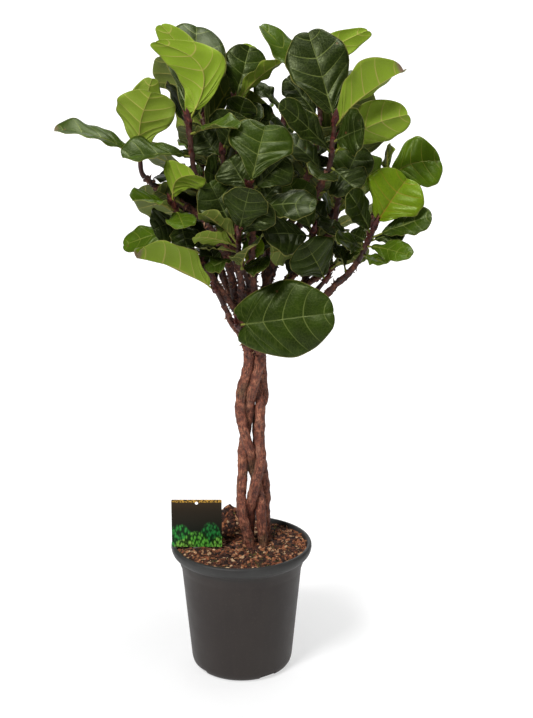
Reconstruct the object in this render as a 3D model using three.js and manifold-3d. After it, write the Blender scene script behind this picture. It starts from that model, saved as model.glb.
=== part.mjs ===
// Potted fiddle leaf fig: a braided standard in a dark nursery pot.
// Millimetres, +Z up, +Y away from the viewer, origin at the centre of the pot's base.
import * as THREE from 'three';
import { mergeVertices } from 'three/addons/utils/BufferGeometryUtils.js';
import Module from 'manifold-3d';

const wasm = await Module();
wasm.setup();

// Clear space between neighbouring pieces.
const gap = 0.3;

const pot = {
  sides: 28,
  rim: 135,
  height: 250,
  lip: 9,
  lipFoot: 225,
  neck: 122,
  neckZ: 209,
  shoulder: 115,
  shoulderZ: 198,
  foot: 98,
  footZ: 19,
  base: 84,
  wall: 2,
  notches: 4,
  notchWidth: 36,
  notchHeight: 10,
  notchDepth: 30,
  notchTurn: -56,
};
const soil = { top: 244, edge: 241 };
const tag = {
  place: [-84, -30, 170],
  width: 95,
  height: 95,
  above: 80.6,
  thick: 1,
  stake: 14,
  hole: 6,
  holeDown: 7,
};

// Round stems: how far apart their rings stand, and their radii.
const strandRadius = 9;
const stemSides = 6;
const twigSides = 5;
const strandStep = 30;
const limbStep = 60;
const kneeRun = 9;
const shootRadius = { foot: 4.7, tip: 3.6 };
const bud = { length: 22, foot: 4.2, tip: 0.8 };

// Leaves: thickness, rows of points from foot to tip, and what a leaf has unless its own line differs.
const leafThick = 1;
const keelDepth = 1.6;
const stalk = { half: 1.7, edge: 1, depth: 3 };
const leafRows = [0.08, 0.3, 0.55, 0.78, 0.93];
const plain = {
  bend: 20, fold: 12, sway: 0, wide: 1.5, waist: 0.14, lobe: 0.05, notch: 0.06, stalk: 14, cup: 25, wave: 4,
};
const golden = 137.5;
const spiral = { first: 0.2, span: 0.78, lift: 30, rise: 35, length: 158, shorter: 34, vary: 18, wide: 0.68 };
const room = 1.6;

const rad = THREE.MathUtils.degToRad;
const vec = (p) => new THREE.Vector3(...p);

// Closed shapes from points and triangles, joined and cut by manifold.
function solid(points, faces) {
  const mesh = new wasm.Mesh({
    numProp: 3,
    vertProperties: Float32Array.from(points.flat()),
    triVerts: Uint32Array.from(faces.flat()),
  });
  return new wasm.Manifold(mesh);
}

// A closed shape from one of the library's geometries, without the slivers where its points meet.
function closed(geometry) {
  geometry.deleteAttribute('normal');
  geometry.deleteAttribute('uv');
  const made = mergeVertices(geometry, 1e-3);
  const places = [...made.attributes.position.array];
  const corners = [...made.index.array];
  const points = [];
  const faces = [];
  for (let i = 0; i < places.length; i += 3) points.push(places.slice(i, i + 3));
  for (let i = 0; i < corners.length; i += 3) {
    const face = corners.slice(i, i + 3);
    if (new Set(face).size === 3) faces.push(face);
  }
  return solid(points, faces);
}

function part(name, shape, color, roughness) {
  const made = shape.getMesh();
  const geometry = new THREE.BufferGeometry();
  geometry.setAttribute('position', new THREE.BufferAttribute(made.vertProperties, 3));
  geometry.setIndex(new THREE.BufferAttribute(made.triVerts, 1));
  const material = new THREE.MeshStandardMaterial({ color, roughness, metalness: 0 });
  const mesh = new THREE.Mesh(mergeVertices(geometry, 1e-3), material);
  mesh.name = name;
  return mesh;
}

// A body turned about the pot's axis, its profile given from the bottom centre round to the top centre.
function turned(profile, sides) {
  const geometry = new THREE.LatheGeometry(profile.map(([radius, z]) => new THREE.Vector2(radius, z)), sides);
  return geometry.rotateX(Math.PI / 2);
}

function box(width, depth, height, centre) {
  return closed(new THREE.BoxGeometry(width, depth, height).translate(...centre));
}

// A smooth run through hand-set points, and a round stem along it.
function run(points, step) {
  const path = [];
  for (let i = 0; i < points.length - 1; i += 1) {
    const after = points[Math.min(i + 2, points.length - 1)];
    const p = [points[Math.max(i - 1, 0)], points[i], points[i + 1], after];
    const pieces = Math.max(1, Math.round(vec(p[1]).distanceTo(vec(p[2])) / step));
    for (let k = 0; k < pieces; k += 1) {
      const t = k / pieces;
      path.push([0, 1, 2].map((c) => 0.5 * (2 * p[1][c] + (p[2][c] - p[0][c]) * t
        + (2 * p[0][c] - 5 * p[1][c] + 4 * p[2][c] - p[3][c]) * t * t
        + (3 * p[1][c] - p[0][c] - 3 * p[2][c] + p[3][c]) * t * t * t)));
    }
  }
  path.push(points.at(-1));
  return path;
}

function tube(path, startRadius, endRadius, sides) {
  const centres = path.map(vec);
  const points = [];
  const faces = [];
  const last = centres.length - 1;
  let across = new THREE.Vector3(1, 0, 0);
  centres.forEach((centre, i) => {
    const along = centres[Math.min(i + 1, last)].clone().sub(centres[Math.max(i - 1, 0)]).normalize();
    across = across.clone().addScaledVector(along, -across.dot(along)).normalize();
    const over = new THREE.Vector3().crossVectors(along, across);
    const radius = startRadius + ((endRadius - startRadius) * i) / last;
    for (let k = 0; k < sides; k += 1) {
      const a = (2 * Math.PI * k) / sides;
      const rim = centre.clone().addScaledVector(across, radius * Math.cos(a));
      points.push(rim.addScaledVector(over, radius * Math.sin(a)).toArray());
    }
  });
  points.push(centres[0].toArray(), centres[last].toArray());
  for (let k = 0; k < sides; k += 1) {
    const n = (k + 1) % sides;
    for (let i = 0; i < last; i += 1) {
      const a = i * sides;
      const b = a + sides;
      faces.push([a + k, a + n, b + n], [a + k, b + n, b + k]);
    }
    faces.push([points.length - 2, n, k], [points.length - 1, last * sides + k, last * sides + n]);
  }
  return solid(points, faces);
}

// Pot: a thin nursery pot with a rolled lip and drain notches under its edge.
const potOutside = [
  [0, 0], [pot.base, 0], [pot.foot - 3, 8], [pot.foot, pot.footZ], [pot.shoulder, pot.shoulderZ],
  [pot.neck - 4, pot.neckZ], [pot.neck, pot.lipFoot], [pot.rim - 7, pot.lipFoot + 3],
  [pot.rim - 1, pot.height - 13], [pot.rim, pot.height - 7], [pot.rim - 1.5, pot.height - 2],
  [pot.rim - 4, pot.height],
];
const potInside = [
  [pot.rim - pot.lip + 1, pot.height - 1], [pot.rim - pot.lip, pot.height - 6],
  [pot.rim - pot.lip - 1, pot.lipFoot + 5], [pot.neck - pot.wall, pot.lipFoot - 3],
  [pot.neck - pot.wall - 4, pot.neckZ - 1], [pot.shoulder - pot.wall, pot.shoulderZ],
  [pot.foot - pot.wall, pot.footZ], [pot.base, pot.wall + 4], [pot.base - 6, pot.wall], [0, pot.wall],
];

function potShape() {
  let shape = closed(turned([...potOutside, ...potInside], pot.sides));
  for (let i = 0; i < pot.notches; i += 1) {
    const notch = box(pot.notchDepth, pot.notchWidth, 2 * pot.notchHeight, [pot.foot, 0, 0]);
    shape = shape.subtract(notch.rotate([0, 0, pot.notchTurn + (360 / pot.notches) * i]));
  }
  return shape;
}

// Stems: four strands crossing over and under one another, each with the limbs it carries.
const levels = [640, 600, 555, 530, 505, 452, 425, 395, 340, 300, 235, 150];
const strands = {
  stem_left: [
    [15, -8], [14, -9], [2, -11], [-1, -12], [0, -13], [12, -14],
    [21, -2], [22, 11], [35, 2], [38, -6], [43, -9], [46, -11],
  ],
  stem_right: [
    [36, -9], [34, -9], [21, -10], [17, -5], [15, 4], [6, 10],
    [3, 8], [3, -4], [0, -9], [4, -15], [19, -15], [20, -17],
  ],
  stem_back_left: [
    [18, 12], [21, 11], [26, 10], [36, 3], [36, -8], [35, -9],
    [38, -11], [32, -13], [20, -11], [17, 8], [13, 8], [10, 9],
  ],
  stem_back_right: [
    [37, 14], [38, 20], [41, 22], [42, 21], [32, 17], [31, 15],
    [34, 15], [40, 19], [46, 20], [45, 17], [49, 14], [52, 14],
  ],
};
const strandPath = (name) => strands[name].map(([x, y], i) => [x, y, levels[i]]);

// Each limb starts inside its strand or an older limb and ends at the foot of a leafy shoot.
const limbs = {
  left_top: {
    of: 'stem_left',
    radius: [8.5, 5.2],
    path: [[15, -8, 632], [6, -10, 665], [-3, -20, 705], [-12, -32, 755], [-26, -46, 830], [-42, -56, 890],
      [-64, -60, 928], [-75, -60, 955]],
  },
  left_upper: {
    of: 'stem_left',
    radius: [6.5, 5],
    path: [[-24, -44, 816], [-50, -46, 858], [-75, -46, 888], [-110, -45, 910], [-140, -41, 928],
      [-165, -40, 950]],
  },
  left_middle: {
    of: 'stem_left',
    radius: [6, 4.8],
    path: [[-2, -18, 698], [-14, -38, 722], [-34, -52, 752], [-60, -60, 795], [-80, -62, 820],
      [-90, -62, 850]],
  },
  left_lower: {
    of: 'stem_left',
    radius: [6, 4.8],
    path: [[12, -9, 646], [-2, -24, 667], [-15, -34, 688], [-29, -42, 722]],
  },
  front_middle: {
    of: 'stem_left',
    radius: [6, 4.8],
    path: [[-3, -20, 706], [2, -42, 740], [2, -62, 772], [0, -80, 805]],
  },
  right_middle: {
    of: 'stem_right',
    radius: [8, 5],
    path: [[36, -9, 632], [42, -12, 655], [62, -18, 674], [110, -25, 703], [150, -29, 734], [173, -31, 757],
      [195, -34, 778], [212, -38, 802]],
  },
  front_lower: {
    of: 'stem_right',
    radius: [5.5, 4.8],
    path: [[112, -25, 704], [124, -24, 726], [139, -25, 746]],
  },
  bottom_front: {
    of: 'stem_right',
    radius: [5, 4.5],
    path: [[35, -11, 626], [25, -26, 642], [12, -36, 658], [5, -40, 670]],
  },
  front_top: {
    of: 'stem_right',
    radius: [6, 4.8],
    path: [[40, -11, 646], [37, -24, 690], [28, -42, 740], [22, -62, 805], [25, -84, 865], [25, -100, 905]],
  },
  front_right: {
    of: 'stem_right',
    radius: [6, 4.8],
    path: [[42, -11, 650], [46, -13, 670], [56, -18, 710], [75, -28, 745], [110, -40, 790]],
  },
  inner_low: {
    of: 'stem_back_left',
    radius: [6, 4.8],
    path: [[18, 12, 632], [17, 4, 680], [15, -8, 715], [15, -20, 750]],
  },
  inner_left: {
    of: 'stem_back_left',
    radius: [7.5, 4.8],
    path: [[18, 12, 632], [12, 13, 710], [-4, 10, 775], [-20, 5, 840], [-25, 0, 895]],
  },
  middle_top: {
    of: 'stem_back_left',
    radius: [6, 4.8],
    path: [[13, 13, 695], [18, 22, 740], [15, 26, 830], [5, 30, 940], [-5, 30, 1010]],
  },
  back_top: {
    of: 'stem_back_left',
    radius: [6, 4.8],
    path: [[14, 13, 688], [22, 45, 745], [45, 80, 820], [65, 95, 915], [75, 100, 985]],
  },
  back_left_low: {
    of: 'stem_back_left',
    radius: [6, 4.8],
    path: [[16, 13, 660], [-8, 45, 695], [-30, 90, 735], [-55, 130, 790]],
  },
  back_left_middle: {
    of: 'stem_back_left',
    radius: [5.5, 4.8],
    path: [[-18, 66, 712], [-38, 85, 770], [-57, 105, 840], [-72, 120, 895]],
  },
  back_left_top: {
    of: 'stem_back_left',
    radius: [5.5, 4.8],
    path: [[-4, 10, 775], [-18, 45, 830], [-40, 85, 915], [-60, 115, 990]],
  },
  back_middle_top: {
    of: 'stem_back_left',
    radius: [5.5, 4.8],
    path: [[45, 80, 820], [36, 108, 855], [38, 128, 885], [40, 142, 920]],
  },
  right_inner: {
    of: 'stem_back_right',
    radius: [6.5, 4.8],
    path: [[38, 16, 650], [60, 22, 705], [85, 20, 755], [125, 15, 805], [165, 10, 845]],
  },
  right_top: {
    of: 'stem_back_right',
    radius: [8, 5.2],
    path: [[37, 14, 632], [41, 28, 715], [62, 16, 795], [110, -18, 870], [138, -32, 925], [155, -40, 960]],
  },
  right_back_top: {
    of: 'stem_back_right',
    radius: [6.5, 4.8],
    path: [[41, 28, 715], [58, 36, 765], [80, 42, 825], [120, 42, 935], [140, 40, 1010]],
  },
  right_upper: {
    of: 'stem_back_right',
    radius: [7, 4.8],
    path: [[37, 14, 636], [47, 20, 665], [75, 30, 700], [110, 40, 735], [185, 55, 785], [225, 58, 830],
      [245, 60, 870]],
  },
  back_middle_low: {
    of: 'stem_back_right',
    radius: [6, 4.8],
    path: [[39, 19, 668], [46, 60, 705], [50, 110, 745], [50, 150, 800]],
  },
  back_middle: {
    of: 'stem_back_right',
    radius: [5.5, 4.8],
    path: [[48, 85, 724], [40, 120, 790], [32, 150, 850], [30, 165, 900]],
  },
  back_right_low: {
    of: 'stem_back_right',
    radius: [5.5, 4.8],
    path: [[75, 30, 700], [105, 65, 725], [130, 100, 760], [150, 130, 800]],
  },
  back_right_middle: {
    of: 'stem_back_right',
    radius: [5.5, 4.8],
    path: [[110, 40, 735], [140, 80, 790], [165, 115, 845], [185, 140, 890]],
  },
  back_right_top: {
    of: 'stem_back_right',
    radius: [5.5, 4.8],
    path: [[80, 42, 825], [102, 80, 870], [122, 105, 915], [138, 120, 960]],
  },
};

const stemShapes = {};
for (const name of Object.keys(strands)) {
  stemShapes[name] = tube(run(strandPath(name), strandStep), strandRadius, strandRadius, stemSides);
}
for (const limb of Object.values(limbs)) {
  const shape = tube(run(limb.path, limbStep), ...limb.radius, twigSides);
  stemShapes[limb.of] = stemShapes[limb.of].add(shape);
}

// Soil: fills the pot to just under the rim, with a plain hole round each stem and the tag's stake.
const mounds = [[-27, 84, 30, 52], [70, 50, 30, 5], [-84, -34, 26, 5], [45, -70, 34, 4], [90, -20, 24, 3]];

function soilLift(x, y, z) {
  if (z < soil.edge) return 0;
  const near = Math.max(0, 1 - (Math.hypot(x, y) / (pot.rim - pot.lip)) ** 6);
  let lift = 0;
  for (const [mx, my, size, height] of mounds) {
    lift += height * Math.exp(-((x - mx) ** 2 + (y - my) ** 2) / size ** 2);
  }
  return near * lift;
}

// Tag: a plain card on a flat stake pushed into the soil, drawn from the stake's foot up.
function cardShape() {
  const middle = tag.above + tag.height / 2;
  const top = tag.above + tag.height - tag.holeDown;
  const hole = tube([[0, -5, top], [0, 5, top]], tag.hole / 2, tag.hole / 2, 8);
  return box(tag.width, tag.thick, tag.height, [0, 0, middle]).add(stakeShape(0)).subtract(hole);
}

function stakeShape(grow) {
  const length = tag.above + 4;
  return box(tag.stake + 2 * grow, tag.thick + 2 * grow, length + grow, [0, 0, (length - grow) / 2]);
}

function soilShape() {
  const sides = potInside.filter(([, z]) => z < soil.edge).reverse();
  const profile = sides.map(([radius, z]) => [Math.max(0, radius - gap), z + gap]);
  const top = [[pot.rim - pot.lip - 1 - gap, soil.edge], [108, soil.top - 1], [88, soil.top], [58, soil.top],
    [0, soil.top]];
  const geometry = turned([...profile, ...top], pot.sides);
  const { position } = geometry.attributes;
  for (let i = 0; i < position.count; i += 1) {
    const [x, y, z] = [position.getX(i), position.getY(i), position.getZ(i)];
    position.setZ(i, z + soilLift(x, y, z));
  }
  let shape = closed(geometry);
  for (const name of Object.keys(strands)) {
    const path = run(strandPath(name), strandStep);
    const foot = path.at(-1);
    path.push([foot[0], foot[1], foot[2] - gap]);
    shape = shape.subtract(tube(path, strandRadius + gap + 0.1, strandRadius + gap + 0.1, stemSides));
  }
  return shape.subtract(stakeShape(gap).translate(tag.place));
}

// Leaf: a bent, folded and waved blade on a short stalk, given by its root, tip and the way it faces.
const margins = [-1, 0, 1];

function halfWidth(leaf, t) {
  const body = Math.sin(Math.PI * t ** leaf.wide) ** 0.62;
  return 0.5 * leaf.width * body * (1 - leaf.waist * Math.exp(-(((t - 0.3) / 0.14) ** 2)));
}

function frameOf(leaf) {
  const chord = vec(leaf.tip).sub(vec(leaf.root));
  const length = chord.length();
  const along = chord.normalize();
  const up = vec(leaf.face).normalize();
  up.addScaledVector(along, -up.dot(along)).normalize();
  const side = new THREE.Vector3().crossVectors(up, along);
  const bend = rad(leaf.bend);
  const arc = (length * bend) / 2 / Math.sin(bend / 2);
  return { along, up, side, bend, arc, stalk: leaf.stalk / arc };
}

// A point of the upper face: t runs from the blade's foot to its tip, s from margin to margin.
function bladePoint(leaf, frame, t, s, drop = 0) {
  const placed = t - leaf.lobe * Math.abs(s) ** 1.5 * (1 - t) ** 4 + leaf.notch * Math.abs(s) ** 1.5 * t ** 5;
  const u = frame.stalk + (1 - frame.stalk) * placed;
  const half = halfWidth(leaf, t);
  const fold = rad(leaf.fold);
  const curl = rad(leaf.cup) / (0.5 * leaf.width);
  const turn = fold - curl * Math.abs(s) * half;
  const out = (Math.sin(fold) - Math.sin(turn)) / curl;
  const lift = (Math.cos(turn) - Math.cos(fold)) / curl;
  const phase = leaf.tip[0] / 100 + 0.37 * (s > 0);
  const wave = leaf.wave * s * s * Math.sin(2 * Math.PI * (1.6 * t + phase)) * Math.sin(Math.PI * t);
  return spinePoint(leaf, frame, u, Math.sign(s) * out, lift + wave - drop);
}

// A point beside and above the leaf's midrib, at the share u of its arc from the root.
function spinePoint(leaf, frame, u, beside, above) {
  const { along, up, side, bend, arc } = frame;
  const angle = bend / 2 - bend * u;
  const sway = leaf.sway * Math.sin(Math.PI * Math.min(1.2, Math.max(0, u)));
  return vec(leaf.root)
    .addScaledVector(along, (arc / bend) * (Math.sin(bend / 2) - Math.sin(angle)) - above * Math.sin(angle))
    .addScaledVector(up, (arc / bend) * (Math.cos(angle) - Math.cos(bend / 2)) + above * Math.cos(angle))
    .addScaledVector(side, sway + beside)
    .toArray();
}

// The closed solid of one leaf; room is added all round it when it is only used to keep others clear.
function leafShape(leaf, room = 0, bladeOnly = false) {
  const frame = frameOf(leaf);
  const wider = { ...leaf, width: leaf.width + 2 * room };
  const half = stalk.half + room / 2;
  const rows = bladeOnly ? [] : [
    {
      top: [spinePoint(leaf, frame, 0, 0, room)],
      bottom: [spinePoint(leaf, frame, 0, 0, -stalk.depth - room)],
    },
    {
      top: margins.map((s) => spinePoint(leaf, frame, frame.stalk, s * half, room)),
      bottom: margins.map((s) => {
        const depth = s === 0 ? stalk.depth : stalk.edge;
        return spinePoint(leaf, frame, frame.stalk, s * half, -depth - room);
      }),
    },
  ];
  for (const t of leafRows) {
    const keel = leafThick + keelDepth * (1 - t);
    rows.push({
      top: margins.map((s) => bladePoint(wider, frame, t, s, -room)),
      bottom: margins.map((s) => bladePoint(wider, frame, t, s, (s === 0 ? keel : leafThick) + room)),
    });
  }
  rows.push({
    top: [bladePoint(wider, frame, 1, 0, -room)],
    bottom: [bladePoint(wider, frame, 1, 0, leafThick + room)],
  });
  return skin(rows);
}

// Joins rows of one or three points, upper and lower, into one closed skin.
function skin(rows) {
  const points = [];
  const index = rows.map((row) => ({
    top: row.top.map((point) => points.push(point) - 1),
    bottom: row.bottom.map((point) => points.push(point) - 1),
  }));
  const faces = [];
  for (let r = 0; r < rows.length - 1; r += 1) {
    const [near, far] = [index[r], index[r + 1]];
    faces.push(...strip(near.top, far.top), ...strip(near.bottom, far.bottom).map(([a, b, c]) => [a, c, b]));
    faces.push(...quad(near.top[0], near.bottom[0], far.bottom[0], far.top[0]));
    faces.push(...quad(near.bottom.at(-1), near.top.at(-1), far.top.at(-1), far.bottom.at(-1)));
  }
  const { top, bottom } = index[0];
  for (let i = 0; i < top.length - 1; i += 1) {
    faces.push(...quad(top[i], top[i + 1], bottom[i + 1], bottom[i]));
  }
  return solid(points, faces);
}

const quad = (a, b, c, d) => [[a, b, c], [a, c, d]];

// Triangles between two rows of one or three points.
function strip(near, far) {
  if (near.length === 1) return quad(near[0], ...far);
  if (far.length === 1) return [[near[0], far[0], near[1]], [near[1], far[0], near[2]]];
  return [...quad(near[0], far[0], far[1], near[1]), ...quad(near[1], far[1], far[2], near[2])];
}

// Leafy shoots: where each one's stem runs to, and the leaves read off the plant.
const shoots = {
  left_top: {
    tip: [-86, -70, 1048],
    leaves: [
      { at: 0.98, tip: [-138, -75, 1180], face: [-0.2, 1, 0.2], width: 90, bend: 30, sway: 56, wide: 0.9 },
      { at: 0.95, tip: [-132, -30, 1208], face: [0, 1, 0.3], width: 60, bend: 30, sway: 28 },
      { at: 0.9, tip: [-78, 85, 1207], face: [0.2, -1, 0.1], width: 116, bend: 25 },
      { at: 0.55, tip: [-122, 15, 1108], face: [0.8, -0.2, 0.5], width: 66, bend: 15 },
      { at: 0.75, tip: [0, -130, 1040], face: [0, -0.3, 1], width: 62, bend: 30, fold: 30 },
      { at: 0.3, tip: [-195, -110, 990], face: [0, -0.45, 1], width: 85, fold: 30 },
    ],
  },
  middle_top: {
    tip: [-10, 40, 1075],
    leaves: [
      { at: 0.95, tip: [18, 62, 1172], face: [0.1, -1, 0.3], width: 84 },
      { at: 0.9, tip: [73, -10, 1146], face: [0, 0.3, 1], width: 50, bend: 35, fold: 25 },
      { at: 0.8, tip: [22, 112, 1174], face: [0, 1, 0.5], width: 66 },
      { at: 0.2, tip: [10, -10, 1085], face: [0, -1, 0.3], width: 60 },
    ],
  },
  left_upper: {
    tip: [-172, -50, 988],
    leaves: [
      { at: 0.98, tip: [-130, -68, 1090], face: [0.2, 1, 0.2], width: 112, bend: 15, fold: 28, sway: -10, lobe: 0.14 },
      { at: 0.9, tip: [-130, 10, 1110], face: [0, 1, 0.5], width: 60, sway: -6 },
      { at: 0.8, tip: [-317, -60, 1032], face: [0, -0.3, 1], width: 76, fold: 25, bend: 42 },
    ],
  },
  left_middle: {
    tip: [-113, -90, 908],
    leaves: [
      { at: 0.98, tip: [-72, -135, 964], face: [0.3, 1, 0.3], width: 76, bend: 30, fold: 25, sway: -20 },
      { at: 0.8, tip: [-177, -140, 922], face: [0, -0.3, 1], width: 70, bend: 35, fold: 25 },
      { at: 0.5, tip: [-150, -70, 862], face: [0, -1, 0.1], width: 68, stalk: 8 },
      { at: 0.6, tip: [-88, -115, 835], face: [0.3, -1, 0.1], width: 52, stalk: 8 },
      { at: 0.75, tip: [-90, -160, 878], face: [0, -0.6, 0.9], width: 52, stalk: 8 },
      { at: 0.1, tip: [-206, -40, 830], face: [0, -0.9, 0.9], width: 56 },
    ],
  },
  left_lower: {
    tip: [-42, -76, 757],
    leaves: [
      { at: 0.98, tip: [-173, -140, 825], face: [0.1, 0.35, 1], width: 112, bend: 25, fold: 48 },
    ],
  },
  front_top: {
    tip: [20, -148, 944],
    leaves: [
      { at: 0.98, tip: [27, -122, 1052], face: [0, -1, 0.2], width: 114, bend: 30, notch: 0.13, wide: 1.9 },
      { at: 0.7, tip: [80, -115, 992], face: [0.2, -1, 0.3], width: 75 },
      { at: 0.6, tip: [-15, -105, 988], face: [-0.2, -1, 0.3], width: 75 },
    ],
  },
  front_middle: {
    tip: [0, -138, 865],
    leaves: [
      { at: 0.98, tip: [20, -170, 945], face: [0, -1, 0.2], width: 78, bend: 10 },
      { at: 0.85, tip: [48, -150, 922], face: [0, -1, 0.3], width: 70, bend: 10 },
      { at: 0.7, tip: [-45, -120, 952], face: [0.2, -1, 0.3], width: 80, bend: 15 },
      { at: 0.6, tip: [-48, -165, 905], face: [0.3, 0.6, 0.8], width: 60, bend: 30, fold: 20 },
      { at: 0.5, tip: [-72, -150, 862], face: [0, 0.6, 0.8], width: 60, bend: 30 },
      { at: 0.3, tip: [-65, -95, 833], face: [0, 0.2, 1], width: 50 },
      { at: 0.05, tip: [-57, -105, 798], face: [0, -0.4, 1], width: 45 },
    ],
  },
  right_top: {
    tip: [166, -60, 1048],
    leaves: [
      { at: 0.98, tip: [120, -10, 1196], face: [0.1, -1, 0.1], width: 112, notch: 0.09, wide: 1.35 },
      { at: 0.9, tip: [276, -108, 1133], face: [-0.5, 0.7, 0.5], width: 108, bend: 25, fold: 42, sway: -5, lobe: 0.12 },
      { at: 0.25, tip: [278, -50, 1080], face: [0.1, 1, 0.3], width: 82, bend: 25, fold: 25, sway: -12 },
      { at: 0.3, tip: [70, -110, 1080], face: [0, -0.8, 0.6], width: 58, fold: 18 },
      { at: 0.55, tip: [213, -110, 1040], face: [-0.2, -1, 0.4], width: 84 },
      { at: 0.02, tip: [202, -88, 932], face: [0.1, -1, 0.5], width: 80 },
    ],
  },
  right_back_top: {
    tip: [146, 50, 1070],
    leaves: [
      { at: 0.98, tip: [230, 80, 1200], face: [0.2, 1, 0.3], width: 56, sway: -38 },
      { at: 0.9, tip: [38, 62, 1208], face: [0.55, -0.6, 0.6], width: 68, bend: 30, fold: 20 },
      { at: 0.5, tip: [85, 80, 1118], face: [0, -1, 0.4], width: 55 },
    ],
  },
  back_top: {
    tip: [80, 120, 1055],
    leaves: [
      { at: 0.98, tip: [25, 130, 1108], face: [0.5, -0.6, 0.6], width: 40, stalk: 8 },
      { at: 0.6, tip: [28, 110, 1058], face: [0, -1, 0.3], width: 56, stalk: 8 },
    ],
  },
  right_middle: {
    tip: [237, -60, 867],
    leaves: [
      { at: 0.98, tip: [292, -60, 950], face: [-0.3, -1, 0.1], width: 114, bend: 25, fold: 26, notch: 0.12 },
      { at: 0.75, tip: [188, -110, 932], face: [0.4, -0.9, 0.3], width: 56, bend: 15 },
      { at: 0.6, tip: [333, -90, 888], face: [0, -0.7, 0.8], width: 62, bend: 15, stalk: 26 },
      { at: 0.5, tip: [290, -66, 858], face: [0, -0.8, 0.6], width: 44, bend: 15 },
      { at: 0.36, tip: [305, -118, 838], face: [0, -0.8, 0.7], width: 46, bend: 20 },
      { at: 0.25, tip: [167, -120, 855], face: [0, -0.9, 0.6], width: 42, bend: 10 },
      { at: 0.1, tip: [252, -110, 822], face: [0, -0.4, 1], width: 42, bend: 10 },
      { at: 0.5, tip: [200, 10, 845], face: [0, -1, 0.4], width: 52, bend: 10, stalk: 8 },
      { at: 0.15, tip: [185, 20, 812], face: [0, -1, 0.4], width: 52, bend: 10, stalk: 8 },
    ],
  },
  right_upper: {
    tip: [268, 80, 932],
    leaves: [
      { at: 0.98, tip: [366, 60, 970], face: [0, -1, 0.4], width: 100, sway: 12 },
      { at: 0.8, tip: [275, 130, 992], face: [0.6, 0.6, 0.6], width: 56 },
      { at: 0.4, tip: [215, 60, 975], face: [0, -0.8, 0.8], width: 76 },
    ],
  },
  front_lower: {
    tip: [154, -36, 766],
    leaves: [
      { at: 0.98, tip: [115, -80, 842], face: [0, -1, 0.4], width: 92, bend: 25 },
    ],
  },
  bottom_front: {
    tip: [-4, -64, 690],
    leaves: [
      {
        at: 0.98, tip: [165, -108, 722], face: [0, -1, 0.2], width: 140, bend: 15, fold: 5,
        wide: 1, waist: 0, lobe: 0.25,
      },
    ],
  },
  front_right: {
    tip: [130, -60, 855],
    leaves: [
      { at: 0.9, tip: [42, -118, 862], face: [0, -0.8, 0.7], width: 92, bend: 15 },
      { at: 0.6, tip: [55, -75, 822], face: [0, 0.9, 0.4], width: 66 },
      { at: 0.98, tip: [72, -55, 935], face: [0, -0.8, 0.3], width: 75, bend: 25 },
    ],
  },
  right_inner: {
    tip: [176, 0, 912],
    leaves: [
      { at: 0.98, tip: [215, 20, 1000], face: [0, -1, 0.4], width: 78, bend: 25 },
      { at: 0.6, tip: [222, 20, 937], face: [0, 0.8, 0.8], width: 66 },
      { at: 0.3, tip: [148, -70, 845], face: [0, -0.9, 0.3], width: 60, bend: 25 },
    ],
  },
  inner_low: {
    tip: [5, -36, 792],
    leaves: [
      { at: 0.98, tip: [30, -62, 845], face: [-0.5, -0.8, 0.2], width: 48, fold: 20 },
    ],
  },
  inner_left: {
    tip: [-30, -10, 995],
    leaves: [
      { at: 0.98, tip: [-5, -40, 1062], face: [0, -1, 0.3], width: 82 },
      { at: 0.7, tip: [-68, 20, 1025], face: [0, -1, 0.3], width: 74 },
      { at: 0.4, tip: [-60, -50, 962], face: [0, -1, 0.4], width: 72 },
    ],
  },
  back_left_low: { tip: [-78, 160, 840], grown: 4 },
  back_left_middle: { tip: [-74, 150, 955], grown: 4 },
  back_left_top: { tip: [-74, 134, 1055], grown: 4 },
  back_middle_low: { tip: [45, 190, 850], grown: 4 },
  back_middle: { tip: [25, 190, 965], grown: 4 },
  back_middle_top: { tip: [45, 156, 980], grown: 4 },
  back_right_low: { tip: [175, 160, 850], grown: 4 },
  back_right_middle: { tip: [204, 165, 945], grown: 4 },
  back_right_top: { tip: [150, 138, 1025], grown: 4 },
};

// The same small random draw in both scripts, from 0 to 1.
let seed = 7;
function draw() {
  seed = (seed * 16807) % 2147483647;
  return seed / 2147483647;
}

// Leaves of the shoots at the back stand in a spiral, longer low down and shorter at the tip.
function grownLeaves(knee, tip, count) {
  const axis = vec(tip).sub(vec(knee)).normalize();
  const first = new THREE.Vector3(0, 1, 0).addScaledVector(axis, -axis.y).normalize();
  const second = new THREE.Vector3().crossVectors(axis, first);
  const leaves = [];
  let angle = rad(360 * draw());
  for (let i = 0; i < count; i += 1) {
    const share = i / (count - 1);
    const lift = rad(spiral.lift + spiral.rise * share);
    const out = first.clone().multiplyScalar(Math.cos(angle)).addScaledVector(second, Math.sin(angle));
    const length = spiral.length - spiral.shorter * share + spiral.vary * draw();
    const at = spiral.first + spiral.span * share;
    const root = vec(knee).lerp(vec(tip), at);
    const way = out.clone().multiplyScalar(Math.cos(lift)).addScaledVector(axis, Math.sin(lift));
    const face = axis.clone().multiplyScalar(Math.cos(lift)).addScaledVector(out, -Math.sin(lift));
    leaves.push({
      at,
      tip: root.addScaledVector(way, length).toArray(),
      face: face.toArray(),
      width: spiral.wide * length,
      bend: 20 + 20 * draw(),
      fold: 10 + 12 * draw(),
    });
    angle += rad(golden);
  }
  return leaves;
}

// A leaf that would meet another turns a little about its root until it stands clear.
const turns = [
  [0, 0], [10, 0], [-10, 0], [0, 10], [0, -10], [10, 10], [-10, 10], [10, -10], [-10, -10], [20, 0], [-20, 0],
  [0, 20], [0, -20], [20, 20], [-20, 20], [20, -20], [-20, -20], [32, 0], [-32, 0], [0, 32], [0, -32],
  [45, 0], [-45, 0], [45, 20], [-45, 20], [60, 0], [-60, 0],
];

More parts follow.
